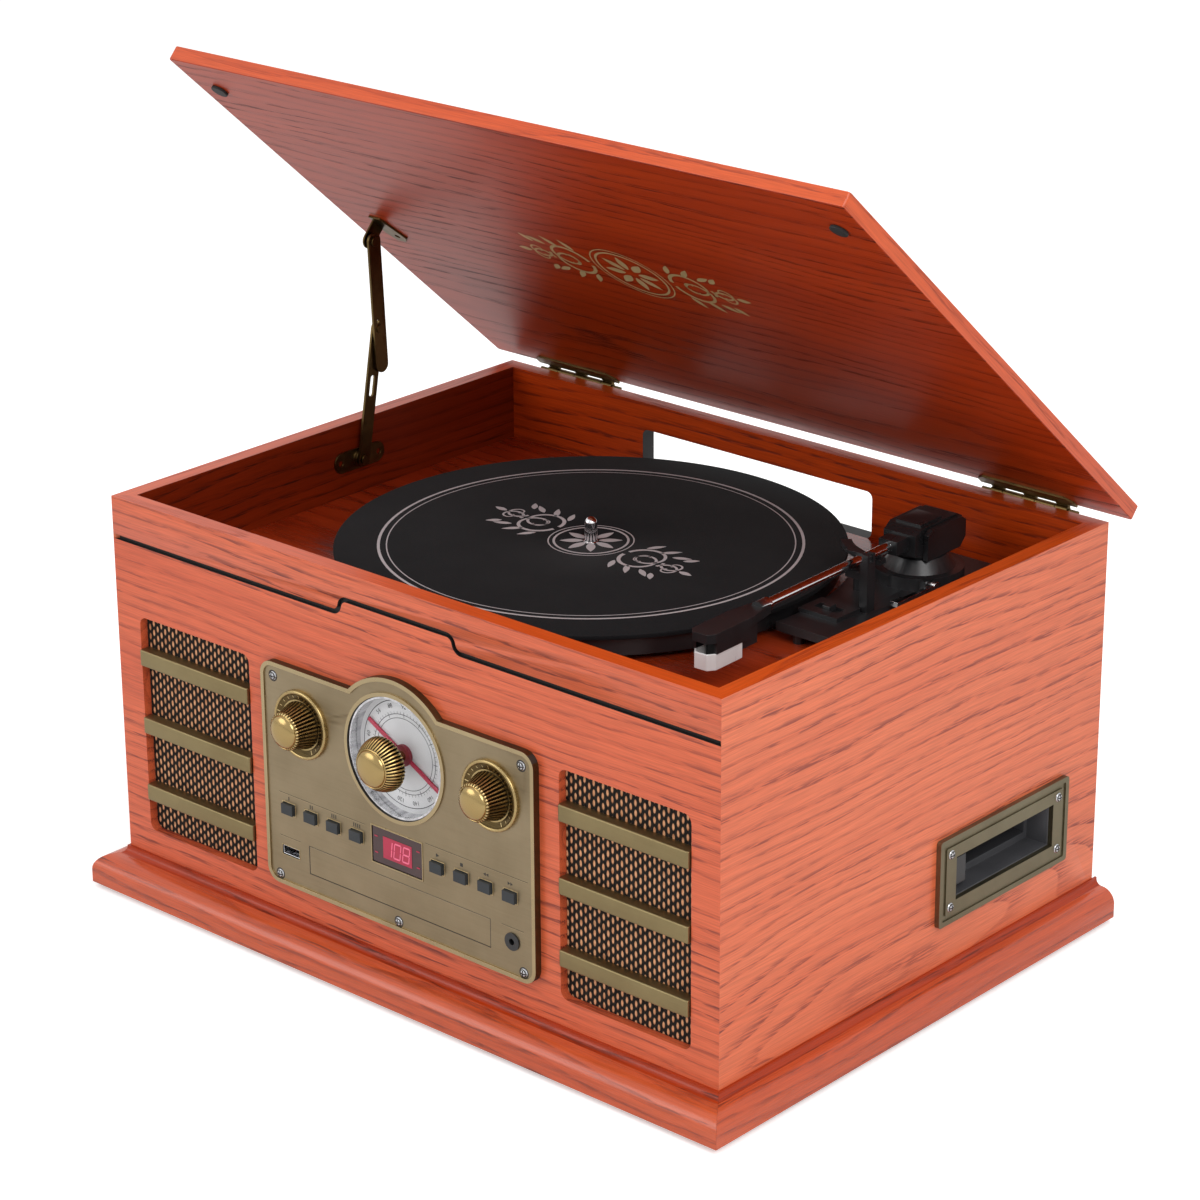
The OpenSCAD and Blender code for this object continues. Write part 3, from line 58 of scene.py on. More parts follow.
bodyOf = {n: body for body, names in frame["record"]["behaviour"]["bodies"].items() for n in names}
print("frame loaded,", len(nodes), "nodes")

mm = 0.001
lidAngle = math.radians(41.4)  # the lid is drawn open this far
hingeY, hingeZ = 165.5, 235.5  # the lid turns about this line, in millimetres


# ---- camera, floor and light

view = dict(place=(1.268165, -1.419655, 0.928873), lens=111.237,
            right=(0.746278, 0.665613, -0.005322), down=(0.239159, -0.275587, -0.931051),
            ahead=(-0.621186, 0.693549, -0.364852))
light = dict(world=0.62, floorTone=0.86, floorLift=0.42,
             lamps=[("keyLamp", (1.5, -0.7, 1.5), 1.2, 17), ("fillLamp", (-1.3, -1.9, 1.2), 1.6, 14),
                    ("topLamp", (0.0, 0.4, 2.0), 1.4, 12)])


def makeCamera():
    data = bpy.data.cameras.new("photoCamera")
    data.lens = view["lens"]
    data.sensor_width = 36
    data.clip_end = 60
    camera = linked("photoCamera", data)
    right, down, ahead = (Vector(view[k]) for k in ("right", "down", "ahead"))
    turn = Matrix((right, -down, -ahead)).transposed()  # the camera's own axes as columns
    camera.matrix_world = Matrix.Translation(view["place"]) @ turn.to_4x4()
    bpy.context.scene.camera = camera
    bpy.context.scene.view_settings.view_transform = "Standard"


def makeLamps():
    for name, place, size, power in light["lamps"]:
        data = bpy.data.lights.new(name, "AREA")
        data.shape = "DISK"
        data.size = size
        data.energy = power
        lamp = linked(name, data)
        lamp.location = place
        lamp.rotation_euler = (Vector((0, 0, 0.1)) - Vector(place)).to_track_quat("-Z", "Y").to_euler()
    world = bpy.data.worlds.new("studio")
    bpy.context.scene.world = world
    world.use_nodes = True
    tree = world.node_tree
    tree.nodes.clear()
    out = put(tree, "ShaderNodeOutputWorld")
    path = put(tree, "ShaderNodeLightPath")
    seen = calc(tree, "MAXIMUM", path.outputs["Is Camera Ray"], path.outputs["Is Transmission Ray"])
    seen = calc(tree, "MAXIMUM", seen, calc(tree, "MULTIPLY", path.outputs["Is Glossy Ray"], 0.75))
    strength = calc(tree, "MULTIPLY_ADD", seen, 1.0 - light["world"], light["world"])
    back = put(tree, "ShaderNodeBackground", {"Color": (1, 1, 1, 1), "Strength": strength})
    tree.links.new(back.outputs[0], out.inputs[0])


def makeFloor():
    # one wide disc, its rings growing outward
    turns = np.linspace(0, 2 * np.pi, 65)[:-1]
    rings = np.array([0.0, 0.6, 1.5, 4, 12, 40])
    spot = np.stack([rings[:, None] * np.cos(turns), rings[:, None] * np.sin(turns),
                     np.zeros((6, 64))], axis=-1)
    material, tree, shader = startMaterial("paleFloor", {"Roughness": 0.9, "Specular IOR Level": 0.1})
    spots = noiseAt(tree, objectSpace(tree), (9, 9, 9), detail=2)
    tone = light["floorTone"]
    ramp(tree, spots, [(0, (tone, tone, tone)), (1, (tone + 0.01, tone + 0.01, tone + 0.01))],
         shader.inputs["Base Color"])
    path = put(tree, "ShaderNodeLightPath")
    glow = put(tree, "ShaderNodeEmission",
               {"Strength": calc(tree, "MULTIPLY", path.outputs["Is Camera Ray"], light["floorLift"])})
    both = put(tree, "ShaderNodeAddShader", {0: shader.outputs[0], 1: glow.outputs[0]})
    tree.links.new(both.outputs[0], tree.nodes["Material Output"].inputs[0])
    gridPiece("studioFloor", spot, material, closeV=True)


# ---- small tools for nodes and meshes

def linked(name, data):
    made = bpy.data.objects.new(name, data)
    bpy.context.scene.collection.objects.link(made)
    return made


def meshSpots(mesh):
    spots = np.empty(len(mesh.vertices) * 3)
    mesh.vertices.foreach_get("co", spots)
    return spots.reshape(-1, 3)


def inside(values, span):
    return (values > span[0]) & (values < span[1])


def hexTone(text):
    # a screen colour as linear light: below 0.04 a straight line, above it the 2.4 power
    parts = np.array([int(text[i:i + 2], 16) for i in (1, 3, 5)]) / 255
    curved = ((parts + 0.055) / 1.055) ** 2.4
    return tuple(float(v) for v in np.where(parts <= 0.04045, parts / 12.92, curved))


def toneSet(words):
    return tuple(hexTone(word) for word in words.split())


def put(tree, kind, inputs=None, **settings):
    made = tree.nodes.new(kind)
    for key, value in settings.items():
        setattr(made, key, value)
    for key, value in (inputs or {}).items():
        if isinstance(value, bpy.types.NodeSocket):
            tree.links.new(value, made.inputs[key])
        else:
            made.inputs[key].default_value = value
    return made


def calc(tree, operation, a, b=0.0, c=0.0):
    return put(tree, "ShaderNodeMath", {0: a, 1: b, 2: c}, operation=operation).outputs[0]


def vectorCalc(tree, operation, a, b=(0, 0, 0), outlet=0):
    return put(tree, "ShaderNodeVectorMath", {0: a, 1: b}, operation=operation).outputs[outlet]


def startMaterial(name, values):
    material = bpy.data.materials.new(name)
    material.use_nodes = True
    shader = material.node_tree.nodes["Principled BSDF"]
    for key, value in values.items():
        shader.inputs[key].default_value = value
    return material, material.node_tree, shader


def objectSpace(tree, turn=(0, 0, 0), shift=(0, 0, 0)):
    place = put(tree, "ShaderNodeTexCoord").outputs["Object"]
    return put(tree, "ShaderNodeMapping", {"Vector": place, "Rotation": turn, "Location": shift}).outputs[0]


def noiseAt(tree, place, stretch, detail=2.0, roughness=0.5):
    # stretch is how many noise cells fit in a metre along each axis
    stretched = vectorCalc(tree, "MULTIPLY", place, stretch)
    return put(tree, "ShaderNodeTexNoise", {"Vector": stretched, "Scale": 1.0, "Detail": detail,
                                            "Roughness": roughness}).outputs["Fac"]


def between(tree, value, low, high, toLow=0.0, toHigh=1.0):
    return put(tree, "ShaderNodeMapRange", {"Value": value, "From Min": low, "From Max": high,
                                            "To Min": toLow, "To Max": toHigh},
               interpolation_type="SMOOTHSTEP").outputs[0]


def ramp(tree, value, stops, target=None):
    made = put(tree, "ShaderNodeValToRGB", {"Fac": value})
    band = made.color_ramp
    while len(band.elements) < len(stops):
        band.elements.new(0.5)
    for element, (spot, tone) in zip(band.elements, stops):
        element.position = spot
        element.color = (*tone, 1)
    if target is not None:
        tree.links.new(made.outputs[0], target)
    return made.outputs[0]


def mixTone(tree, amount, a, b, target=None, blend="MIX"):
    made = put(tree, "ShaderNodeMix", data_type="RGBA", blend_type=blend)
    for socket, value in (("Factor_Float", amount), ("A_Color", a), ("B_Color", b)):
        spot = next(s for s in made.inputs if s.identifier == socket)
        if isinstance(value, bpy.types.NodeSocket):
            tree.links.new(value, spot)
        else:
            spot.default_value = (*value, 1) if isinstance(value, tuple) else value
    result = next(s for s in made.outputs if s.identifier == "Result_Color")
    if target is not None:
        tree.links.new(result, target)
    return result


def bumpFrom(tree, shader, height, distance, strength=1.0):
    made = put(tree, "ShaderNodeBump", {"Height": height, "Distance": distance, "Strength": strength})
    tree.links.new(made.outputs[0], shader.inputs["Normal"])


def meshPiece(name, points, faces, material=None, smooth=True):
    mesh = bpy.data.meshes.new(name)
    mesh.from_pydata(points.tolist(), [], faces)
    mesh.update()
    piece = linked(name, mesh)
    if material is not None:
        mesh.materials.append(material)
    if smooth:
        mesh.polygons.foreach_set("use_smooth", np.ones(len(mesh.polygons), bool))
    return piece


def gridFaces(rows, columns, closeU=False, closeV=False, start=0):
    # four corners for each cell of a rows by columns grid, wrapped round where it closes
    across = columns if closeV else columns - 1
    down = rows if closeU else rows - 1
    row, column = np.meshgrid(np.arange(down), np.arange(across), indexing="ij")
    here, nextRow = row * columns, (row + 1) % rows * columns
    nextColumn = (column + 1) % columns
    quads = np.stack([here + column, here + nextColumn, nextRow + nextColumn, nextRow + column], axis=-1)
    return (quads.reshape(-1, 4) + start).tolist()


def gridPiece(name, grid, material, closeU=False, closeV=False, smooth=True, sharp=None):
    rows, columns = grid.shape[:2]
    piece = meshPiece(name, grid.reshape(-1, 3), gridFaces(rows, columns, closeU, closeV), material, smooth)
    tidyMesh(piece, sharp)
    return piece


def tidyMesh(piece, sharp=None):
    # doubles merged, then the outside found again
    work = bmesh.new()
    work.from_mesh(piece.data)
    bmesh.ops.remove_doubles(work, verts=work.verts, dist=1e-6)
    bmesh.ops.recalc_face_normals(work, faces=work.faces)
    work.to_mesh(piece.data)
    work.free()
    if sharp is not None:
        piece.data.set_sharp_from_angle(angle=math.radians(sharp))


def turned(name, profile, centre, material, count=96, flute=None, sharp=35, toward=(0, -1, 0)):
    # a profile of (radius, height) turned about a line; flute(turns) gives the share of the radius left
    profile = np.array(profile, float) * mm
    turns = np.linspace(0, 2 * np.pi, count + 1)[:-1]
    radius = np.repeat(profile[:, :1], count, axis=1)
    if flute is not None:
        radius = radius * flute(turns)
    rise = np.array(toward, float)
    side = np.array((1.0, 0, 0)) if abs(rise[0]) < 0.5 else np.array((0, 1.0, 0))
    other = np.cross(rise, side)
    grid = (np.array(centre) * mm + radius[..., None] * (np.cos(turns)[:, None] * side
                                                         + np.sin(turns)[:, None] * other)
            + profile[:, 1][:, None, None] * rise)
    return gridPiece(name, grid, material, closeV=True, sharp=sharp)


def joined(name, pieces):
    # several pieces become one, their materials kept by slot
    bpy.ops.object.select_all(action="DESELECT")
    for piece in pieces:
        piece.select_set(True)
    bpy.context.view_layer.objects.active = pieces[0]
    bpy.ops.object.join()
    pieces[0].name = pieces[0].data.name = name
    return pieces[0]


def faced(piece, toward=(0, -1, 0)):
    # a flat print shows its front the given way
    normals = np.empty(len(piece.data.polygons) * 3)
    piece.data.polygons.foreach_get("normal", normals)
    if normals.reshape(-1, 3).sum(axis=0) @ np.array(toward, float) < 0:
        piece.data.flip_normals()
    return piece


def dress(piece, slotName, *replaced, body=None):
    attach(piece, body or bodyOf[replaced[0]])
    if replaced:
        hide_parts(*replaced)
    return piece


def softened(nodeName, slotName, materials, width=0.5, segments=2, angle=35, choose=None, edges=None):
    # a merged copy of a node with its flats joined, its edges rounded and its faces painted by place
    mesh = nodes[nodeName].data.copy()
    mesh.name = nodeName + "_shape"
    work = bmesh.new()
    work.from_mesh(mesh)
    bmesh.ops.remove_doubles(work, verts=work.verts, dist=2e-6)
    bmesh.ops.dissolve_limit(work, angle_limit=math.radians(0.6), verts=work.verts, edges=work.edges)
    work.to_mesh(mesh)
    work.free()
    mesh.materials.clear()
    for material in materials:
        mesh.materials.append(material)
    count = len(mesh.polygons)
    centres, normals = np.empty(count * 3), np.empty(count * 3)
    mesh.polygons.foreach_get("center", centres)
    mesh.polygons.foreach_get("normal", normals)
    picks = np.zeros(count, np.int32)
    if choose is not None:
        picks = choose(centres.reshape(-1, 3) / mm, normals.reshape(-1, 3)).astype(np.int32)
    mesh.polygons.foreach_set("material_index", picks)
    mesh.polygons.foreach_set("use_smooth", np.ones(count, bool))
    mesh.set_sharp_from_angle(angle=math.radians(angle))
    piece = linked(nodeName + "_look", mesh)
    if width:
        finish = piece.modifiers.new("edgeRound", "BEVEL")
        finish.width = width * mm
        finish.segments = segments
        finish.limit_method = "ANGLE"
        finish.angle_limit = math.radians(angle)
        finish.harden_normals = True
        finish.use_clamp_overlap = True
        if edges is not None:
            finish.limit_method = "WEIGHT"
            weights = mesh.attributes.new("bevel_weight_edge", "FLOAT", "EDGE")
            ends = np.empty(len(mesh.edges) * 2, np.int32)
            mesh.edges.foreach_get("vertices", ends)
            pairs = meshSpots(mesh)[ends.reshape(-1, 2)] / mm
            sharpEdges = np.zeros(len(mesh.edges), bool)
            mesh.edges.foreach_get("use_edge_sharp", sharpEdges)
            weights.data.foreach_set("value", (sharpEdges & edges(pairs[:, 0], pairs[:, 1])).astype(float))
    return dress(piece, slotName, nodeName)


# ---- materials

def oakWood(name, tones, turn=(0, 0, 0), centre=(0.4, 0.15, 0.1), squash=0.05, rings=150, seed=0.0,
            streak=0.85, gloss=0.36, coat=0.2, spec=0.35):
    # growth rings are the distance from a long stretched centre near the face, bent by slow noise;
    # the pores are short dark dashes along the grain, thick where each ring starts
    material, tree, shader = startMaterial(name, {"Coat Weight": coat, "Coat Roughness": 0.22,
                                                  "Specular IOR Level": spec})
    place = objectSpace(tree, turn)
    moved = vectorCalc(tree, "ADD", place, (seed, seed * 0.37, seed * 0.21))
    # both sides of the case take the same distance from the middle
    folded = vectorCalc(tree, "MAXIMUM", place, vectorCalc(tree, "MULTIPLY", place, (1, -1, 1)))
    away = vectorCalc(tree, "MULTIPLY", vectorCalc(tree, "SUBTRACT", folded, centre), (squash, 1, 1))
    reach = vectorCalc(tree, "LENGTH", away, outlet="Value")
    slow = noiseAt(tree, moved, (3.2, 12, 12), detail=2, roughness=0.5)
    ripple = noiseAt(tree, moved, (9, 34, 34), detail=2)
    field = calc(tree, "MULTIPLY_ADD", reach, rings, calc(tree, "MULTIPLY", slow, 5.0))
    field = calc(tree, "MULTIPLY_ADD", ripple, 0.9, field)
    part = calc(tree, "FRACT", field)
    early = calc(tree, "MULTIPLY", between(tree, part, 0.0, 0.55, 1.0, 0.0), between(tree, part, 0.0, 0.06))
    dashes = between(tree, noiseAt(tree, moved, (52, 950, 950), detail=2, roughness=0.6), 0.44, 0.58)
    dense = between(tree, noiseAt(tree, moved, (6, 30, 30), detail=2), 0.32, 0.66, 0.3, 1.0)
    pores = calc(tree, "MULTIPLY", dashes,
                 calc(tree, "MULTIPLY", calc(tree, "MULTIPLY_ADD", early, 0.9, 0.1), dense))
    body = ramp(tree, noiseAt(tree, moved, (3.0, 30, 30), detail=3), [(0.25, tones[0]), (0.75, tones[1])])
    body = mixTone(tree, calc(tree, "MULTIPLY", early, 0.35), body, tones[2])
    fibre = noiseAt(tree, moved, (36, 1500, 1500), detail=2, roughness=0.65)
    body = mixTone(tree, 0.8, body, ramp(tree, fibre, [(0.3, (0.80, 0.78, 0.78)),
                                                       (0.7, (1.14, 1.14, 1.14))]), blend="MULTIPLY")
    mixTone(tree, calc(tree, "MULTIPLY", pores, streak), body, tones[3], shader.inputs["Base Color"])
    tree.links.new(between(tree, pores, 0.0, 1.0, gloss, gloss + 0.2), shader.inputs["Roughness"])
    bumpFrom(tree, shader, calc(tree, "MULTIPLY", pores, -1.0), 0.00012, 0.5)
    return material


def agedBrass(name, light, dark, rough=0.36, grain=(30, 900, 900), metallic=1.0):
    # fine brushing along X, soft cloudy tarnish
    material, tree, shader = startMaterial(name, {"Metallic": metallic})
    place = objectSpace(tree)
    brush = noiseAt(tree, place, grain, detail=2)
    cloud = noiseAt(tree, place, (26, 26, 26), detail=4, roughness=0.6)
    tone = calc(tree, "MULTIPLY_ADD", brush, 0.35, calc(tree, "MULTIPLY", cloud, 0.65))
    ramp(tree, tone, [(0.32, dark), (0.66, light)], shader.inputs["Base Color"])
    tree.links.new(between(tree, brush, 0.2, 0.8, rough - 0.05, rough + 0.1), shader.inputs["Roughness"])
    bumpFrom(tree, shader, brush, 0.00003, 0.35)
    return material


def mouldedPlastic(name, tone, rough=0.4, speck=900, depth=0.00004, lift=1.25, spec=0.5):
    # fine pebbled skin, slight change of tone and gloss
    material, tree, shader = startMaterial(name, {"Specular IOR Level": spec})
    place = objectSpace(tree)
    skin = noiseAt(tree, place, (speck, speck, speck), detail=2)
    cloud = noiseAt(tree, place, (40, 40, 40), detail=3)
    brighter = tuple(min(1.0, v * lift + 0.002) for v in tone)
    ramp(tree, cloud, [(0.3, tone), (0.75, brighter)], shader.inputs["Base Color"])
    tree.links.new(between(tree, cloud, 0.2, 0.8, rough - 0.04, rough + 0.08), shader.inputs["Roughness"])
    bumpFrom(tree, shader, skin, depth, 0.4)
    return material


def flutedGold(name, middle, flutes, crest, groove):
    # bright along the crests and dark in the grooves, by the turn about the knob's own axis: painted
    # highlight and painted shade
    material, tree, shader = startMaterial(name, {"Metallic": 1.0})
    place = objectSpace(tree)
    apart = put(tree, "ShaderNodeSeparateXYZ", {0: place})
    across = calc(tree, "SUBTRACT", apart.outputs[0], middle[0] * mm)
    up = calc(tree, "SUBTRACT", apart.outputs[2], middle[1] * mm)
    wave = calc(tree, "SINE", calc(tree, "MULTIPLY", calc(tree, "ARCTAN2", up, across), flutes / 2))
    wave = calc(tree, "ABSOLUTE", wave)
    crestLightAndShade = calc(tree, "MULTIPLY_ADD", noiseAt(tree, place, (300, 120, 300), detail=2), 0.3,
                calc(tree, "ADD", wave, -0.15))
    middleTone = tuple((a + b) / 2 for a, b in zip(crest, groove))
    ramp(tree, crestLightAndShade, [(0.58, groove), (0.80, middleTone), (0.95, crest)], shader.inputs["Base Color"])
    tree.links.new(between(tree, crestLightAndShade, 0.3, 1.0, 0.4, 0.2), shader.inputs["Roughness"])
    return material


def plainMetal(name, light, dark, rough=0.2, grain=(500, 500, 40)):
    material, tree, shader = startMaterial(name, {"Metallic": 1.0})
    place = objectSpace(tree)
    streaks = noiseAt(tree, place, grain, detail=2)
    ramp(tree, streaks, [(0.3, dark), (0.7, light)], shader.inputs["Base Color"])
    tree.links.new(between(tree, streaks, 0.2, 0.8, rough - 0.05, rough + 0.06), shader.inputs["Roughness"])
    return material


caseTones = toneSet("#DC6A42 #CE5A36 #B04222 #5A2222")
# the outer side panels take lighter tones than the front: painted light on the lit side
sideLitTones = toneSet("#E2774E #D66740 #BC4C2A #6C2E2C")
rimTones = toneSet("#D6591F #CA4A10 #B23A0A #74220C")
innerTones = toneSet("#C8480E #A83408 #862004 #3A0C04")
shadedTones = toneSet("#84290A #6C1E06 #561404 #260803")
# the lid's underside takes darker tones than its top: partly a deeper tone of the wood, partly painted shade
lidUnderToneAndShade = toneSet("#B43C0E #9C2E08 #801E04 #380C06")
lidRimTones = toneSet("#D25A2C #C44A1E #AA3A14 #6E220E")
deckTones = toneSet("#B0401C #983010 #7A200A #380C06")
# darker tones for the moulding's cove: painted shade
coveShadeTones = toneSet("#B43A06 #A02E03 #7E2002 #380C04")
mouldTones = toneSet("#D05E34 #C04C24 #9E3614 #581C10")
bareTones = toneSet("#A9835A #98744C #84613C #5A4028")
sideTurn = (0, 0, math.radians(-90))
lidTurn = (lidAngle, 0, 0)
lidEndTurn = (lidAngle, 0, math.radians(-90))
oakFront = oakWood("oakFront", caseTones, centre=(0.02, 0.15, 0.13), seed=1.3)
oakSideLit = oakWood("oakSideLit", sideLitTones, turn=sideTurn, centre=(-0.02, 0.205, 0.03), squash=0.16, rings=125,
                  seed=4.1)
oakEdge = oakWood("oakEdge", rimTones, seed=2.0, streak=0.5)
oakEdgeSide = oakWood("oakEdgeSide", rimTones, turn=sideTurn, seed=2.6, streak=0.5)
oakInner = oakWood("oakInner", innerTones, centre=(0.3, 0.12, 0.1), seed=5.2, spec=0.2, coat=0.1)
# the inner faces of the side walls take the darkest tones: painted shade inside the case
oakInnerSideShaded = oakWood("oakInnerSideShaded", shadedTones, turn=sideTurn, centre=(0.3, 0.18, 0.1), seed=6.4,
                       spec=0.15, coat=0.05)
oakLid = oakWood("oakLid", lidUnderToneAndShade, turn=lidTurn, centre=(-0.05, 0.10, 0.26), squash=0.1, rings=110,
                 seed=7.7, spec=0.2, coat=0.12)
oakLidTop = oakWood("oakLidTop", caseTones, turn=lidTurn, centre=(0.1, 0.2, 0.26), squash=0.1, seed=8.9)
oakLidEdge = oakWood("oakLidEdge", lidRimTones, turn=lidTurn, seed=9.5, streak=0.6)
oakLidEnd = oakWood("oakLidEnd", lidRimTones, turn=lidEndTurn, seed=3.5, streak=0.6)
oakDeck = oakWood("oakDeck", deckTones, centre=(0.2, 0.05, 0.15), rings=110, seed=10.1, gloss=0.22,
                  coat=0.3)
oakCoveShade = oakWood("oakCoveShade", coveShadeTones, centre=(0.3, 0.16, 0.06), seed=11.9, gloss=0.3, coat=0.15,
                  spec=0.25)
oakCoveSide = oakWood("oakCoveSide", coveShadeTones, turn=sideTurn, centre=(0.3, 0.2, 0.06), seed=12.2,
                      gloss=0.3, coat=0.15, spec=0.25)
oakMould = oakWood("oakMould", mouldTones, centre=(0.3, 0.16, 0.06), seed=11.3, gloss=0.26, coat=0.45)
oakMouldSide = oakWood("oakMouldSide", mouldTones, turn=sideTurn, centre=(0.3, 0.2, 0.06), seed=12.7,
                       gloss=0.26, coat=0.45)
oakBare = oakWood("boardBare", bareTones, seed=13.1, coat=0.0, gloss=0.6)
print("woods made")
groovePaint = mouldedPlastic("groovePaint", (0.010, 0.008, 0.008), rough=0.6)

fasciaBrass = agedBrass("fasciaBrass", (0.330, 0.262, 0.165), (0.255, 0.200, 0.121), rough=0.40)
# the plate's outer edge walls: a darker antique plating with painted shade
sideBrassAndShade = agedBrass("fasciaSide", (0.13, 0.095, 0.045), (0.075, 0.052, 0.024), rough=0.42)
# brighter, glossier brass on the raised rims, frames and glints: painted highlight
rimHighlightBrass = agedBrass("rimHighlightBrass", (0.47, 0.37, 0.21), (0.38, 0.295, 0.168), rough=0.26, grain=(50, 50, 50))
barBrass = agedBrass("barBrass", (0.285, 0.225, 0.112), (0.225, 0.172, 0.085), rough=0.42)
bezelBrass = agedBrass("bezelBrass", (0.225, 0.195, 0.125), (0.165, 0.14, 0.088), rough=0.42,
                       grain=(900, 30, 900))
# near black for painted shade in openings, gaps, recesses and under the label lines, and for the printed
# signs
shadeAndPrintDark = mouldedPlastic("shadeAndPrintDark", (0.018, 0.014, 0.010), rough=0.5)
knobGold = agedBrass("knobGold", (0.44, 0.315, 0.135), (0.38, 0.268, 0.108), rough=0.17, grain=(60, 20, 60))
knobDark = agedBrass("knobDark", (0.10, 0.062, 0.022), (0.055, 0.034, 0.013), rough=0.34,
                     grain=(400, 40, 400))
collarGold = agedBrass("collarGold", (0.46, 0.34, 0.155), (0.34, 0.245, 0.105), rough=0.26)
collarDark = agedBrass("collarDark", (0.13, 0.088, 0.034), (0.06, 0.04, 0.016), rough=0.26)
markGold = agedBrass("markGold", (0.72, 0.55, 0.27), (0.58, 0.43, 0.19), rough=0.3)
dialSilver = mouldedPlastic("dialSilver", (0.66, 0.66, 0.67), rough=0.32, lift=1.2)
dialChrome = plainMetal("dialChrome", (0.80, 0.80, 0.82), (0.42, 0.42, 0.44), rough=0.16,
                        grain=(260, 40, 260))
dialInk = mouldedPlastic("dialInk", (0.04, 0.04, 0.045), rough=0.5)
pointerRed = mouldedPlastic("pointerRed", hexTone("#B0324A"), rough=0.3)
hubRed = mouldedPlastic("hubRed", hexTone("#7A1F2E"), rough=0.35)
screwSteel = plainMetal("screwSteel", (0.62, 0.62, 0.64), (0.44, 0.44, 0.46), rough=0.24,
                        grain=(300, 300, 300))
buttonSlate = mouldedPlastic("buttonSlate", hexTone("#292D30"), rough=0.42, spec=0.35)
blackPlastic = mouldedPlastic("blackPlastic", (0.012, 0.012, 0.013), rough=0.30, lift=1.6)
greyPlastic = mouldedPlastic("greyPlastic", (0.055, 0.055, 0.06), rough=0.42, lift=1.4)
rubberBlack = mouldedPlastic("rubberBlack", (0.014, 0.014, 0.014), rough=0.65, depth=0.00008)
hardware = agedBrass("antiqueHardware", (0.17, 0.112, 0.042), (0.07, 0.046, 0.018), rough=0.34,
                     grain=(120, 120, 120))
hardwareGold = agedBrass("hardwareGold", (0.60, 0.42, 0.16), (0.42, 0.28, 0.10), rough=0.28,
                         grain=(120, 120, 120))
chrome = plainMetal("armChrome", (0.82, 0.82, 0.83), (0.66, 0.66, 0.68), rough=0.12, grain=(40, 400, 400))
socketMetal = plainMetal("socketMetal", (0.74, 0.74, 0.76), (0.56, 0.56, 0.58), rough=0.24)
guardPlastic = mouldedPlastic("guardPlastic", (0.82, 0.78, 0.77), rough=0.3)
boardGreen = mouldedPlastic("boardGreen", (0.012, 0.10, 0.03), rough=0.4)
beltRubber = mouldedPlastic("beltRubber", (0.02, 0.02, 0.02), rough=0.7)
displayGlass = mouldedPlastic("displayGlass", hexTone("#3E2A2A"), rough=0.14)
displayRed = mouldedPlastic("displayRed", hexTone("#A8203F"), rough=0.2)
digitPink = mouldedPlastic("digitPink", hexTone("#EE6C8C"), rough=0.2, lift=1.1)
printSilver = mouldedPlastic("printSilver", hexTone("#B9B4B6"), rough=0.7, lift=1.15, depth=0.00008)
printGold = agedBrass("printGold", (0.66, 0.52, 0.26), (0.52, 0.39, 0.17), rough=0.42, metallic=0.35)
print("materials made")


# ---- the case

case = dict(halfX=220, halfY=162.5, rimZ=236, grooveY=(-162.45, -159.5), grooveZ=(205, 230),
            windowX=-19, windowHalf=87, windowY=(152.6, 162.4), windowZ=(191, 221), coveZ=19.6)


def onMitre(spots):
    return np.abs((case["halfX"] - np.abs(spots[:, 0])) - (case["halfY"] - np.abs(spots[:, 1]))) < 0.06


def offMitre(a, b):
    return ~(onMitre(a) & onMitre(b))


def paintRim(centres, normals):
    # 1 on the walls' top edge, 0 elsewhere
    return ((normals[:, 2] > 0.9) & (centres[:, 2] > case["rimZ"])).astype(int)


def paintFront(centres, normals):
    pick = paintRim(centres, normals)
    pick[normals[:, 1] > 0.9] = 2
    pick[inside(centres[:, 1], case["grooveY"]) & inside(centres[:, 2], case["grooveZ"])] = 3
    return pick


def paintSide(centres, normals):
    pick = paintRim(centres, normals)
    pick[normals[:, 0] * np.sign(centres[:, 0]) < -0.9] = 2
    return pick


def paintRear(centres, normals):
    pick = paintRim(centres, normals)
    pick[normals[:, 1] < -0.9] = 2
    inWindow = inside(centres[:, 1], case["windowY"]) & inside(centres[:, 2], case["windowZ"])
    pick[inWindow & (np.abs(centres[:, 0] - case["windowX"]) < case["windowHalf"])] = 3
    return pick


def paintLid(centres, normals):
    under = np.array((0, -math.sin(lidAngle), -math.cos(lidAngle)))
    facing = normals @ under
    pick = np.full(len(centres), 2)
    # the underside takes the darker tones, partly painted shade
    pick[facing > 0.9] = 0
    pick[facing < -0.9] = 1
    pick[np.abs(normals[:, 0]) > 0.7] = 3
    return pick


def paintMould(centres, normals):
    # the cove above the nose takes darker tones: painted shade
    return (np.abs(centres[:, 0]) > 219).astype(int) + 2 * (centres[:, 2] > case["coveZ"])


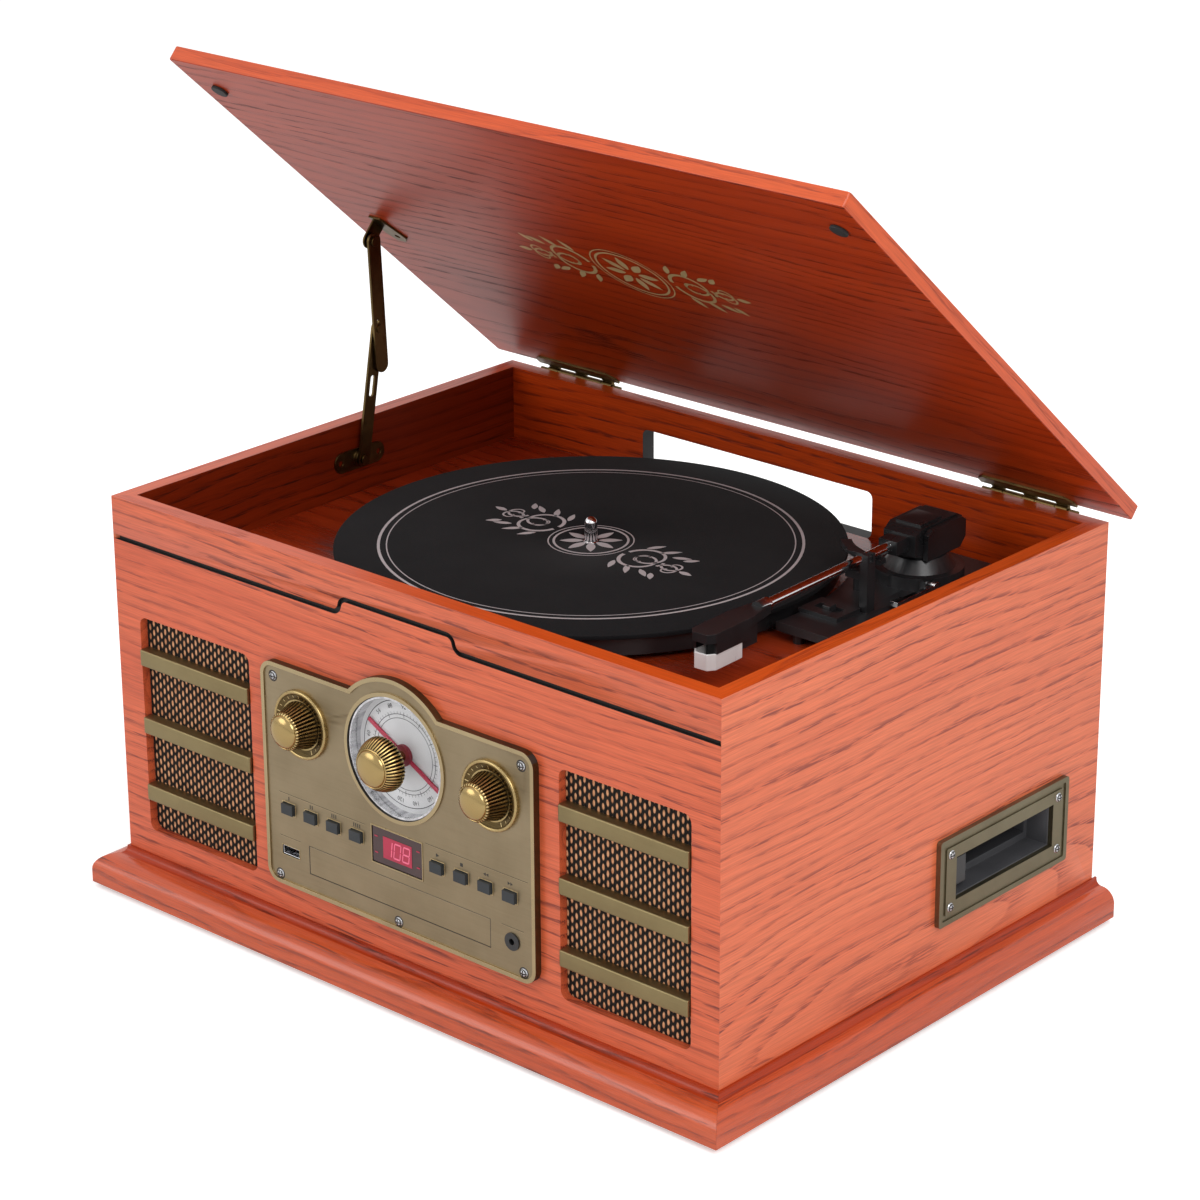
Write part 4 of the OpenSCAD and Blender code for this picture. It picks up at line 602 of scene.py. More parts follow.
def makeCase():
    softened("front_panel", "stained_oak", [oakFront, oakEdge, oakInner, groovePaint], 0.5,
             choose=paintFront, edges=offMitre)
    softened("left_panel", "stained_oak", [oakSideLit, oakEdgeSide, oakInnerSideShaded], 0.5, choose=paintSide,
             edges=offMitre)
    softened("right_panel", "stained_oak", [oakSideLit, oakEdgeSide, oakInnerSideShaded], 0.5, choose=paintSide,
             edges=offMitre)
    softened("rear_panel", "dark_stained_wood", [oakInner, oakEdge, oakInner, groovePaint], 0.5,
             choose=paintRear, edges=offMitre)
    softened("lid_panel", "stained_oak", [oakLid, oakLidTop, oakLidEdge, oakLidEnd], 0.7, segments=3,
             choose=paintLid)
    softened("plinth_moulding", "stained_oak", [oakMould, oakMouldSide, oakCoveShade, oakCoveSide], 0.0,
             choose=paintMould)
    softened("deck_board", "dark_stained_wood", [oakDeck], 0.0)
    softened("base_board", "bare_board", [oakBare], 0.4)
    softened("rubber_feet", "foot_rubber", [rubberBlack], 0.8, segments=3)
    softened("lid_bumpers", "foot_rubber", [rubberBlack], 0.4)
    softened("lid_hinge_leaves", "antique_brass_hardware", [hardware], 0.15)
    softened("cabinet_hinge_leaves", "antique_brass_hardware", [hardware], 0.15)
    for name in ("stay_wall_bracket", "stay_lid_bracket", "stay_upper_arm", "stay_lower_arm"):
        softened(name, "antique_brass_hardware", [hardware], 0.2)
    print("case made")


# ---- the front plate

plate = dict(faceY=-166.0, raisedY=-166.3, edgeX=99, edgeZ=(43.5, 172))
screws = dict(headY=-166.2, crossY=-167.0, boltX=223.2, crossX=224.0, reach=2.3,
              bolts=[(73.2 + a * 48.6, 73 + b * 15.4) for a in (-1, 1) for b in (-1, 1)])


def paintPlate(centres, normals):
    # 1 on the plate's outer edge, a darker plating with painted shade; 2 in its openings, painted shade; 3 on
    # what stands out from its face, painted highlight
    pick = np.zeros(len(centres), int)
    wall = (np.abs(normals[:, 1]) < 0.5) & (centres[:, 1] > plate["faceY"])
    low, high = plate["edgeZ"]
    outside = (np.abs(centres[:, 0]) > plate["edgeX"]) | (centres[:, 2] > high) | (centres[:, 2] < low)
    pick[wall & outside] = 1
    pick[wall & ~outside] = 2
    pick[centres[:, 1] < plate["raisedY"]] = 3
    return pick


def closeTo(spots, points):
    away = np.hypot(spots[:, None, 0] - points[:, 0], spots[:, None, 1] - points[:, 1])
    return away.min(axis=1) < screws["reach"]


def paintScrews(centres, normals):
    # the walls and floors of the driver's cross are painted dark: painted shade in the recess
    s = screws
    x, y = centres[:, 0], centres[:, 1]
    front = (y < s["headY"]) & ((np.abs(normals[:, 1]) < 0.6) | (y > s["crossY"]))
    side = (x > s["boltX"]) & ((np.abs(normals[:, 0]) < 0.6) | (x < s["crossX"]))
    near = closeTo(centres[:, [0, 2]], np.array(trim["screws"], float))
    beside = closeTo(centres[:, 1:], np.array(s["bolts"]))
    return ((front & near) | (side & beside)).astype(int)


def ringFrame(name, x, z, w, h, wide, high, y, material, depth=0.02):
    # a thin raised frame round a rectangle on the plate: four corners, and a small rounded section
    section = np.array([(0, -depth), (0.06, high * 0.8), (0.3 * wide, high), (0.7 * wide, high),
                        (wide - 0.06, high * 0.8), (wide, -depth)])
    corners = np.array([(-1, -1), (1, -1), (1, 1), (-1, 1)])
    halfW, halfH = w / 2 + section[:, 0], h / 2 + section[:, 0]
    grid = np.stack([x + corners[:, :1] * halfW, np.broadcast_to(y - section[:, 1], (4, len(section))),
                     z + corners[:, 1:] * halfH], axis=-1) * mm
    return gridPiece(name, grid, material, closeU=True, sharp=30)


def flatStrip(name, x0, x1, z0, z1, y, material):
    grid = np.array([[(x0, y, z0), (x1, y, z0)], [(x0, y, z1), (x1, y, z1)]]) * mm
    return faced(gridPiece(name, grid, material))


def flatShape(name, outline, y, material):
    # one flat many-sided face, its corners given as x and z
    outline = np.array(outline, float)
    spots = np.stack([outline[:, 0], np.full(len(outline), y), outline[:, 1]], axis=-1) * mm
    return faced(meshPiece(name, spots, [list(range(len(outline)))], material, smooth=False))


trim = dict(y=-166.0, drawerX=67.65, buttonX=[-82.2, -64.8, -47.4, -30.0, 30.0, 47.4, 64.8, 82.2],
            buttonZ=89.1, buttonW=9.2, buttonH=6.6,
            screws=[(-91, 47.7), (-91, 165.1), (91, 47.7), (91, 165.1), (0, 47.7)],
            displayRim=(0, 88.5, 37.1, 21.1, 0.7, 0.35), usbRim=(-82, 63.3, 13.2, 5.6, 0.45, 0.2),
            screwShadow=[(2.55, 0.03), (3.15, 0.05),
                  (3.3, 0.0)], gap=0.35, trayY=-163.0, signZ=96.0, signY=-166.03,
            lines=[(-89.8, -23.7, 97.6), (21.0, 94.7, 100.4), (-90.5, -74.0, 71.6), (75.5, 91.5, 71.2)])


def drawerFront():
    # the drawer's front is what reaches the plate's face: its lowest and highest point there
    spots = meshSpots(nodes["cd_drawer"].data)
    face = spots[spots[:, 1] < spots[:, 1].min() + mm]
    return face[:, 2].min(), face[:, 2].max()


def makeTrim():
    t = trim
    parts = []
    # bright frames round the buttons, the display and the socket: painted highlight on their edges
    for k, x in enumerate(t["buttonX"]):
        parts.append(ringFrame(f"button_rim_{k}", x, t["buttonZ"], t["buttonW"], t["buttonH"], 0.55, 0.3,
                               t["y"], rimHighlightBrass))
    parts.append(ringFrame("display_rim", *t["displayRim"], t["y"], rimHighlightBrass))
    parts.append(ringFrame("usb_rim", *t["usbRim"], t["y"], rimHighlightBrass))
    # a dark ring round each screw head: painted shadow
    for k, (x, z) in enumerate(t["screws"]):
        parts.append(turned(f"screw_shadow_ring_{k}", t["screwShadow"], (x, t["y"], z), shadeAndPrintDark, 48))
    # each label line: a dark strip of painted shade above a bright strip of painted highlight
    for k, (x0, x1, z) in enumerate(t["lines"]):
        parts.append(flatStrip(f"label_shade_line_{k}", x0, x1, z - 0.15, z + 0.15, t["y"] - 0.02, shadeAndPrintDark))
        parts.append(flatStrip(f"label_glint_{k}", x0, x1, z - 0.38, z - 0.15, t["y"] - 0.02, rimHighlightBrass))
    # dark strips over the gap round the drawer's front: painted shade
    low, high = (v / mm for v in drawerFront())
    side, gap = t["drawerX"], t["gap"]
    gaps = [(-side, side, low - gap, low), (-side, side, high, high + gap),
            (-side, gap - side, low, high), (side - gap, side, low, high)]
    for k, (x0, x1, z0, z1) in enumerate(gaps):
        parts.append(flatStrip(f"drawer_gap_shade_{k}", x0, x1, z0, z1, t["y"] - 0.02, shadeAndPrintDark))
    # the left buttons carry one to four short bars, the right ones the usual signs of a player
    for k, x in enumerate(t["buttonX"][:4]):
        for n in range(k + 1):
            left = x - k * 0.75 + n * 1.5
            parts.append(flatStrip(f"bar_sign_{k}_{n}", left - 0.35, left + 0.35, 94.0, 96.2, t["signY"],
                                   shadeAndPrintDark))
    signs = [[[(-1.1, -1.1), (1.3, 0), (-1.1, 1.1)]],
             [[(-1, -1), (1, -1), (1, 1), (-1, 1)]],
             [[(0.1, 0), (1.9, -1), (1.9, 1)], [(-1.8, 0), (0, -1), (0, 1)]],
             [[(-0.1, 0), (-1.9, 1), (-1.9, -1)], [(1.8, 0), (0, 1), (0, -1)]]]
    for k, (x, shapes) in enumerate(zip(t["buttonX"][4:], signs)):
        for n, outline in enumerate(shapes):
            parts.append(flatShape(f"player_sign_{k}_{n}", [(x + a, t["signZ"] + b) for a, b in outline],
                                   t["signY"], shadeAndPrintDark))
    dress(joined("plate_trim", parts), "fascia_metal", body="cabinet")


digits = dict(y=-165.99, z=88.5, w=4.6, h=8.6, wide=0.95, lean=0.12, places=(-6.3, 0.2, 6.7), shown="108",
              panel=(-10.4, 10.9), panelHalf=6.3, markHalf=(1.2, 0.35),
              marks=[(-15.5, 93.5), (-15.5, 84), (15.6, 93.5), (15.6, 84)])
lit = {"1": "bc", "0": "abcdef", "8": "abcdefg"}


def makeDisplay():
    # a pink window in a dark frame with three seven-part numerals
    d = digits
    panel = flatStrip("display_panel", *d["panel"], d["z"] - d["panelHalf"], d["z"] + d["panelHalf"],
                      d["y"] + 0.02, displayRed)
    parts = [panel]
    w, h, t = d["w"] / 2, d["h"] / 2, d["wide"] / 2
    bars = {"a": (-w, w, h - t, h + t), "d": (-w, w, -h - t, -h + t), "g": (-w, w, -t, t),
            "b": (w - t, w + t, 0.2, h), "c": (w - t, w + t, -h, -0.2),
            "e": (-w - t, -w + t, -h, -0.2), "f": (-w - t, -w + t, 0.2, h)}
    for k, (x, sign) in enumerate(zip(d["places"], d["shown"])):
        for name in lit[sign]:
            x0, x1, z0, z1 = bars[name]
            corners = ((x0 + 0.15, z0), (x1 - 0.15, z0), (x1 - 0.15, z1), (x0 + 0.15, z1))
            outline = [(x + a + b * d["lean"], d["z"] + b) for a, b in corners]
            parts.append(flatShape(f"numeral_{k}_{name}", outline, d["y"] - 0.01, digitPink))
    wide, high = d["markHalf"]
    for k, (x, z) in enumerate(d["marks"]):
        strip = flatStrip(f"display_mark_{k}", x - wide, x + wide, z - high, z + high, d["y"], displayRed)
        parts.append(strip)
    dress(joined("display_numerals", parts), "display_plastic", body="cabinet")


def makePlate():
    softened("fascia_plate", "fascia_metal", [fasciaBrass, sideBrassAndShade, shadeAndPrintDark, rimHighlightBrass], 0.42, segments=3,
             choose=paintPlate)
    softened("panel_screws", "screw_steel", [screwSteel, shadeAndPrintDark], 0.12, choose=paintScrews)
    softened("dial_face", "dial_silver", [dialSilver, dialChrome], 0.1, choose=lambda c,
             n: (c[:, 1] < -158.05).astype(int))
    softened("display_window", "display_plastic", [displayGlass], 0.2)
    softened("headphone_jack", "black_plastic", [blackPlastic], 0.2)
    softened("usb_socket", "socket_metal", [socketMetal], 0.2)
    # the drawer's front is metal and its tray is black
    softened("cd_drawer", "fascia_metal", [fasciaBrass, blackPlastic], 0.25,
             choose=lambda c, n: (c[:, 1] > trim["trayY"]).astype(int))
    for k in range(1, 9):
        softened(f"button_{k}", "button_slate", [buttonSlate], 0.14)
    softened("cassette_bezel", "fascia_metal", [bezelBrass], 0.3)
    softened("cassette_mechanism", "grey_plastic", [greyPlastic], 0.2)
    softened("cassette_eject_key", "black_plastic", [blackPlastic], 0.5)
    print("plate made")


knob = dict(x=69.6, z=142.5, foot=-167.5, flutes=36, footR=13.5, neckR=10.4, bodyL=10.6, capR=10.6,
            domeR=9.4, tip=15.8)
tuner = dict(foot=-172.5, flutes=44, domeR=10.2, low=10.9, tip=14.4,
             profile=[(13.6, 0), (14.8, 0.4), (15.2, 1.3), (15.15, 2.8), (14.85, 4.4), (14.25, 6.1),
                      (13.4, 7.8), (12.4, 9.4), (11.2, 10.7)])


def dome(radius, low, high, steps=9):
    # a quarter ellipse from the rim at low to the pole at high
    turn = np.linspace(0, np.pi / 2, steps)
    return [(radius * math.cos(a), low + (high - low) * math.sin(a)) for a in turn[:-1]] + [(0.01, high)]


def fluteCut(flutes, power, deep):
    # flutes as a rounded wave cut inward, deep giving the share of the radius taken at each row
    def share(turns):
        wave = np.abs(np.sin(turns * flutes / 2)) ** power
        return 1 - np.array(deep)[:, None] * (1 - wave)
    return share


def makeSideKnob(nodeName, x):
    k = knob
    centre = (x, k["foot"], k["z"])
    rise = np.linspace(0, 1, 9)
    body = [(k["footR"] + (k["neckR"] - k["footR"]) * r, k["bodyL"] * r) for r in rise]
    # shallower where the body meets its foot
    cut = fluteCut(k["flutes"], 0.7, 0.075 * (0.35 + 0.65 * np.minimum(1, rise * 6)))
    count = k["flutes"] * 8
    foot = turned(nodeName + "_foot", [(4.2, 0.0), (13.2, 0.0)], centre, knobDark, count)
    # crest and groove tones of the flutes: painted highlight and painted shade
    fluted = flutedGold(nodeName + "Flutes", (x, k["z"]), k["flutes"], (0.24, 0.155, 0.055),
                        (0.022, 0.014, 0.006))
    shaft = turned(nodeName + "_body", body, centre, fluted, count, cut, sharp=70)
    low = k["bodyL"]
    edge = [(k["neckR"] - 0.9, low - 0.05), (k["capR"], low), (k["capR"] + 0.12, low + 0.6),
            (k["capR"] - 0.1, low + 1.3),
            (k["domeR"] + 0.35, low + 1.75)]
    scallop = fluteCut(k["flutes"], 0.8, [0, 0.06, 0.06, 0.05, 0.0])
    # crest and groove tones of the beaded rim: painted highlight and painted shade
    beaded = flutedGold(nodeName + "Beads", (x, k["z"]), k["flutes"], (0.70, 0.52, 0.24),
                        (0.12, 0.08, 0.03))
    rim = turned(nodeName + "_rim", edge, centre, beaded, count, scallop, sharp=70)
    top = turned(nodeName + "_dome", [(k["domeR"] + 0.35, low + 1.75), (k["domeR"], low + 1.55)]
                 + dome(k["domeR"] - 0.1, low + 1.6, k["tip"]),
                 centre, knobGold, 96)
    piece = joined(nodeName + "_turned", [shaft, foot, rim, top])
    dress(piece, "gold_plate", nodeName)


def makeTuningKnob():
    t = tuner
    centre = (0, t["foot"], knob["z"])
    profile = np.array(t["profile"])
    count = t["flutes"] * 8
    cut = fluteCut(t["flutes"], 0.6, [0.03, 0.06, 0.08, 0.085, 0.09, 0.09, 0.09, 0.08, 0.04])
    foot = turned("tuning_foot", [(3.0, 0.02), (13.6, 0.02)], centre, knobDark, count)
    shaft = turned("tuning_shaft", [(3.0, -14.5), (3.0, 0.05)], centre, knobGold, 48)
    # crest and groove tones of the flutes: painted highlight and painted shade
    fluted = flutedGold("tuningFlutes", (0, knob["z"]), t["flutes"], (0.60, 0.43, 0.17),
                        (0.035, 0.022, 0.009))
    body = turned("tuning_body", profile, centre, fluted, count, cut, sharp=80)
    low = t["low"]
    shoulder = turned("tuning_shoulder", [(11.1, low - 0.25), (10.95, low + 0.1), (10.6, low + 0.25),
                                          (t["domeR"], low)], centre, knobGold, 96)
    top = turned("tuning_dome", dome(t["domeR"], low, t["tip"]), centre, knobGold, 96)
    piece = joined("tuning_knob_turned", [body, foot, shaft, shoulder, top])
    dress(piece, "gold_plate", "tuning_knob")


def radialMark(name, x, y, reach, angle, half, material):
    # a flat bar along a radius about (x, the knobs' height); y may differ at its two ends
    rows = []
    for side in (-half, half):
        across = x + reach * np.cos(angle) - side * np.sin(angle)
        up = knob["z"] + reach * np.sin(angle) + side * np.cos(angle)
        rows.append(np.stack([across, y, up], axis=-1))
    return faced(gridPiece(name, np.stack(rows) * mm, material))


def makeCollars():
    c = dict(r=19.7, bead=1.1, marks=21)
    parts = []
    for side, x in (("left", -knob["x"]), ("right", knob["x"])):
        centre = (x, -166.0, knob["z"])
        round_ = np.linspace(np.pi, 0, 9)
        bead = c["r"] - c["bead"] + c["bead"] * np.cos(round_), 1.3 + c["bead"] * np.sin(round_)
        parts.append(turned(f"collar_{side}_bead", [*zip(*bead), (c["r"], 0.02)], centre, collarGold, 128))
        parts.append(turned(f"collar_{side}_slope", [(14.3, 1.22), (14.6, 1.32), (17.4, 2.15), (17.9, 1.5)],
                            centre, collarDark, 128))
        parts.append(turned(f"collar_{side}_dish", [(4.2, 1.2), (13.2, 1.2), (14.3, 1.22)], centre,
                            collarGold, 128))
        # bright marks stand on the sloped ring, a longer one at each end
        for k, a in enumerate(np.radians(np.linspace(-58, 238, c["marks"]))):
            out = np.array((14.9, 17.2)) if k % 5 == 0 else np.array((15.5, 16.8))
            lift = 1.42 + (out - 14.6) * 0.296
            half = 0.28 if k % 5 == 0 else 0.2
            parts.append(radialMark(f"collar_{side}_mark_{k}", x, -166.0 - lift, out, a, half, markGold))
    dress(joined("knob_collars_turned", parts), "gold_plate", "knob_collars")


def makeDialPrint():
    # thin ink shapes laid on the silver face: rings, ticks and plain numbers
    d = dict(face=-158.12, z=knob["z"], rings=[(20.2, 0.16), (22.4, 0.16), (30.0, 0.2)], ticks=60,
             tickIn=22.4, tickOut=23.9,
             numberR=27.0, size=3.4)
    turns = np.linspace(0, 2 * np.pi, 145)
    parts = []
    for k, (radius, half) in enumerate(d["rings"]):
        edge = np.array((radius - half, radius + half))[:, None]
        grid = np.stack([edge * np.cos(turns), np.full((2, 145), d["face"]), d["z"] + edge * np.sin(turns)],
                        axis=-1) * mm
        parts.append(faced(gridPiece(f"dial_ring_{k}", grid, dialInk)))
    angle = np.linspace(0, 2 * np.pi, d["ticks"] + 1)[:-1]
    long = np.where(np.arange(d["ticks"]) % 5 == 0, 1.5, 0.0)
    for k in range(d["ticks"]):
        a = angle[k]
        r = np.array((d["tickIn"] - long[k], d["tickOut"]))
        w = 0.10 if long[k] == 0 else 0.16
        parts.append(radialMark(f"dial_tick_{k}", 0, np.full(2, d["face"]), r, a, w, dialInk))
    numbers = [(112, "88"), (90, "92"), (68, "96"), (46, "100"), (18, "104"), (-6, "108"), (134, "54"),
               (170, "60"), (200, "80"),
               (232, "100"), (262, "120"), (286, "140"), (312, "160")]
    for k, (a, word) in enumerate(numbers):
        parts.append(flatWord(f"dial_number_{k}", word, d["size"], dialInk, math.radians(a), d["numberR"],
                              d["z"], d["face"]))
    dress(joined("dial_print", parts), "dial_silver", body="cabinet")


def flatWord(name, word, size, material, angle, radius, z, y):
    # plain numbers stood upright on the dial, centred on their place
    curve = bpy.data.curves.new(name, "FONT")
    curve.body, curve.size, curve.align_x, curve.align_y = word, size * mm, "CENTER", "CENTER"
    curve.resolution_u = 3
    piece = linked(name, curve)
    bpy.context.view_layer.update()
    mesh = bpy.data.meshes.new_from_object(piece.evaluated_get(bpy.context.evaluated_depsgraph_get()))
    bpy.data.objects.remove(piece)
    spots = meshSpots(mesh)
    lie = angle - math.pi / 2
    x, up = spots[:, 0], spots[:, 1]
    placed = np.stack([x * math.cos(lie) - up * math.sin(lie) + radius * math.cos(angle) * mm,
                       np.full(len(x), y * mm),
                       x * math.sin(lie) + up * math.cos(lie) + (z + radius * math.sin(angle)) * mm], axis=-1)
    mesh.vertices.foreach_set("co", placed.ravel())
    mesh.materials.clear()
    mesh.materials.append(material)
    mesh.update()
    return faced(linked(name, mesh))


def makePointer():
    softened("dial_pointer", "pointer_red", [pointerRed, hubRed], 0.2,
             choose=lambda c, n: (np.hypot(c[:, 0], c[:, 2] - knob["z"]) < 6.5).astype(int))


def makeLens():
    material, tree, shader = startMaterial("lensClear", {"Roughness": 0.03, "Transmission Weight": 1.0,
                                                         "IOR": 1.05})
    haze = noiseAt(tree, objectSpace(tree), (60, 60, 60))
    ramp(tree, haze, [(0, (0.97, 0.97, 0.97)), (1, (1, 1, 1))], shader.inputs["Base Color"])
    softened("dial_lens", "clear_lens", [material], 0.0)


# ---- the speakers

bars = dict(x=157.5, z=104.5, pitch=41.0, w=86.6, h=9.6, front=-164.5, back=-157.5, round=0.9)
clothStyle = dict(pitchX=3.1, pitchZ=5.6, wide=1.06, tall=2.3)  # the slubs' half sizes with their soft edge


def makeCloth():
    s = clothStyle
    material, tree, shader = startMaterial("grilleCloth", {"Roughness": 0.9, "Specular IOR Level": 0.15})
    place = objectSpace(tree)
    wobble = noiseAt(tree, place, (90, 90, 90), detail=2)
    apart = put(tree, "ShaderNodeSeparateXYZ", {0: place})
    across = calc(tree, "MULTIPLY_ADD", wobble, 0.3, calc(tree, "DIVIDE", apart.outputs[0],
                                                          s["pitchX"] * mm))
    column = calc(tree, "ROUND", across)
    offX = calc(tree, "SUBTRACT", across, column)
    shift = calc(tree, "MULTIPLY", calc(tree, "FLOORED_MODULO", column, 2.0), 0.5)
    along = calc(tree, "ADD", calc(tree, "DIVIDE", apart.outputs[2], s["pitchZ"] * mm), shift)
    offZ = calc(tree, "SUBTRACT", along, calc(tree, "ROUND", along))
    # distance from the middle of the nearest slub, 1 at its edge
    reachX = calc(tree, "MULTIPLY", offX, s["pitchX"] / s["wide"])
    reachZ = calc(tree, "MULTIPLY", offZ, s["pitchZ"] / s["tall"])
    far = calc(tree, "SQRT", calc(tree, "ADD", calc(tree, "POWER", reachX, 2.0),
                                  calc(tree, "POWER", reachZ, 2.0)))
    slub = between(tree, far, 0.55, 1.0, 1.0, 0.0)
    thread = noiseAt(tree, place, (2600, 900, 500), detail=2)
    tan = ramp(tree, noiseAt(tree, place, (330, 330, 180), detail=2),
               [(0.3, hexTone("#B87C56")), (0.55, hexTone("#E6AA80")), (0.8, hexTone("#A07450"))])
    black = ramp(tree, thread, [(0.35, (0.006, 0.005, 0.005)), (0.7, (0.03, 0.024, 0.02))])
    tint = mixTone(tree, calc(tree, "MULTIPLY", slub, 1.0), black, tan)
    mixTone(tree, 0.35, tint, ramp(tree, thread, [(0.3, (0.7, 0.7, 0.7)), (0.7, (1.15, 1.15, 1.15))]),
            shader.inputs["Base Color"], "MULTIPLY")
    bumpFrom(tree, shader, calc(tree, "ADD", slub, calc(tree, "MULTIPLY", thread, 0.25)), 0.0006, 0.8)
    softened("speaker_grilles", "grille_cloth", [material], 0.0)
    softened("speaker_drivers", "driver_black", [blackPlastic], 0.3)


def makeBars():
    b = bars
    parts = []
    # section of a bar: a flat face with rounded long edges; its ends taper in a few shrunk rings
    r = b["round"]
    arc = np.linspace(0, np.pi / 2, 5)
    halfH = b["h"] / 2
    section = [(b["back"], -halfH), *[(b["front"] + r - r * math.sin(a), -halfH + r - r * math.cos(a))
                                      for a in arc],
               *[(b["front"] + r - r * math.cos(a), halfH - r + r * math.sin(a))
                 for a in arc], (b["back"], halfH)]
    section = np.array(section)
    halfW = b["w"] / 2
    ends = np.array([(-halfW, 0.0), (-halfW + 0.12, 0.55), (-halfW + 0.5, 0.9), (-halfW + 1.0, 1.0)])
    stations = np.concatenate([ends, ends[::-1] * (-1, 1)])
    for k, (side, row) in enumerate([(s, q) for s in (-1, 1) for q in (-1, 0, 1)]):
        grid = np.empty((len(stations), len(section), 3))
        drop = (1 - stations[:, 1])[:, None]
        grid[..., 0] = (side * b["x"] + stations[:, 0])[:, None]
        grid[..., 1] = np.where(section[:, 0] < b["back"] - 1, section[:, 0] + drop * 0.9, section[:, 0])
        grid[..., 2] = b["z"] + row * b["pitch"] + section[:, 1] * (1 - drop * 0.04)
        count = len(section)
        last = (len(stations) - 1) * count
        faces = gridFaces(len(stations), count,
                          closeV=True) + [list(range(count)), list(range(last, last + count))]
        piece = meshPiece(f"bar_{k}", grid.reshape(-1, 3) * mm, faces, barBrass)
        tidyMesh(piece, 40)
        parts.append(piece)
    dress(joined("grille_bars_rounded", parts), "fascia_metal", "grille_bars")


# ---- the printed ornaments

def leafOutline(length, width, steps=14):
    # two bowed sides that meet in points
    t = np.linspace(0, 1, steps)
    bow = width / 2 * np.sin(np.pi * t) ** 0.8 * (1 - 0.35 * t)
    return np.concatenate([np.stack([t * length, bow], axis=-1),
                           np.stack([t[::-1] * length, -bow[::-1]], axis=-1)[1:-1]])


def placedOutline(outline, x, y, turn):
    c, s = math.cos(turn), math.sin(turn)
    return np.stack([x + outline[:, 0] * c - outline[:, 1] * s, y + outline[:, 0] * s + outline[:, 1] * c],
                    axis=-1)


def vineStrip(points, widths):
    # a flat strip along a line of points, its two edges half a width to each side
    points = np.array(points)
    way = np.gradient(points, axis=0)
    way /= np.linalg.norm(way, axis=1, keepdims=True)
    side = np.stack([-way[:, 1], way[:, 0]], axis=-1) * np.array(widths)[:, None] / 2
    return np.stack([points + side, points - side])


def spiralVine(turns, size, mirror, steps=70):
    # a spiral whose reach shrinks evenly with each turn
    t = np.linspace(0, 1, steps)
    angle = t * turns * 2 * np.pi
    reach = size * (1 - 0.86 * t)
    return np.stack([mirror * (size - reach * np.cos(angle)), reach * np.sin(angle)], axis=-1)


def ornament(spread):
    # outlines and strips of a rosette between two scrolls with leaves; spread is the half width
    leaves, strips = [], []
    unit = spread / 75
    for k in range(8):
        turn = k * np.pi / 4
        leaves.append(placedOutline(leafOutline(13 * unit, 6 * unit), 4 * unit * math.cos(turn),
                                    4 * unit * math.sin(turn), turn))
    ring = np.linspace(0, 2 * np.pi, 49)
    for radius, wide in ((20, 1.3), (23, 0.7)):
        circle = np.stack([radius * unit * np.cos(ring), radius * unit * np.sin(ring)], axis=-1)
        strips.append(vineStrip(circle, np.full(49, wide * unit)))
    for mirror in (-1, 1):
        for flip in (-1, 1):
            vine = spiralVine(1.35, 13 * unit, mirror) * (1, flip) + (mirror * 27 * unit, flip * 2 * unit)
            strips.append(vineStrip(vine, np.linspace(2.2, 0.8, len(vine)) * unit))
            small = spiralVine(1.2, 7.5 * unit, mirror) * (1, -flip) + (mirror * 52 * unit, flip * 3 * unit)
            strips.append(vineStrip(small, np.linspace(1.7, 0.6, len(small)) * unit))
            for reach, turn, size in ((30, 62, 11), (40, 52, 12), (49, 30, 11), (57, 48, 9)):
                place = (mirror * reach * unit, flip * 12 * unit)
                lie = math.radians(turn) if mirror > 0 else math.pi - math.radians(turn)
                leaves.append(placedOutline(leafOutline(size * unit, 4.2 * unit), place[0], place[1],
                                            flip * lie))
        leaves.append(placedOutline(leafOutline(9 * unit, 4.5 * unit), mirror * 66 * unit, 0, 0
                                    if mirror > 0 else math.pi))
    return leaves, strips


def printed(name, leaves, strips, lay, material, toward):
    # lay turns the flat x and y of the drawing into places on the object, in millimetres
    parts = []
    for k, outline in enumerate(leaves):
        leaf = meshPiece(f"{name}_leaf_{k}", lay(outline) * mm, [list(range(len(outline)))], material,
                         smooth=False)
        parts.append(faced(leaf, toward))
    for k, strip in enumerate(strips):
        rows = lay(strip.reshape(-1, 2)).reshape(strip.shape[0], strip.shape[1], 3) * mm
        parts.append(faced(gridPiece(f"{name}_vine_{k}", rows, material, smooth=False), toward))
    return joined(name, parts)


mat = dict(centre=(-22.5, 14.2), r=143.0, hole=4.75, low=206.0, high=208.5, printZ=208.56)
lidPrint = dict(reach=191.5, rise=2.84)  # along the lid from the hinge, and up from its line


def makePrints():
    # on the felt mat, a little above it
    leaves, strips = ornament(78)
    turn = math.radians(-4)
    def onMat(p):
        placed = placedOutline(p, *mat["centre"], turn)
        return np.column_stack([placed, np.full(len(p), mat["printZ"])])
    edge = np.linspace(0, 2 * np.pi, 121)
    rim = [vineStrip(np.stack([r * np.cos(edge), r * np.sin(edge)], axis=-1), np.full(121, w)) for r,
           w in ((118, 1.6), (113.5, 0.7))]
    dress(printed("mat_print", leaves, strips + rim, onMat, printSilver, (0, 0, 1)), "mat_felt",
          body=bodyOf["slip_mat"])
    # under the lid: along the lid from its rear edge, turned up with it, a hair below the wood
    leaves, strips = ornament(83)
    c, s = math.cos(lidAngle), math.sin(lidAngle)
    def underLid(p):
        reach, rise = lidPrint["reach"] + p[:, 1], lidPrint["rise"]
        return np.stack([p[:, 0], hingeY - reach * c + rise * s, hingeZ + reach * s + rise * c], axis=-1)
    dress(printed("lid_print", leaves, strips, underLid, printGold, (0, -s, -c)), "stained_oak", body="lid")


# ---- the deck

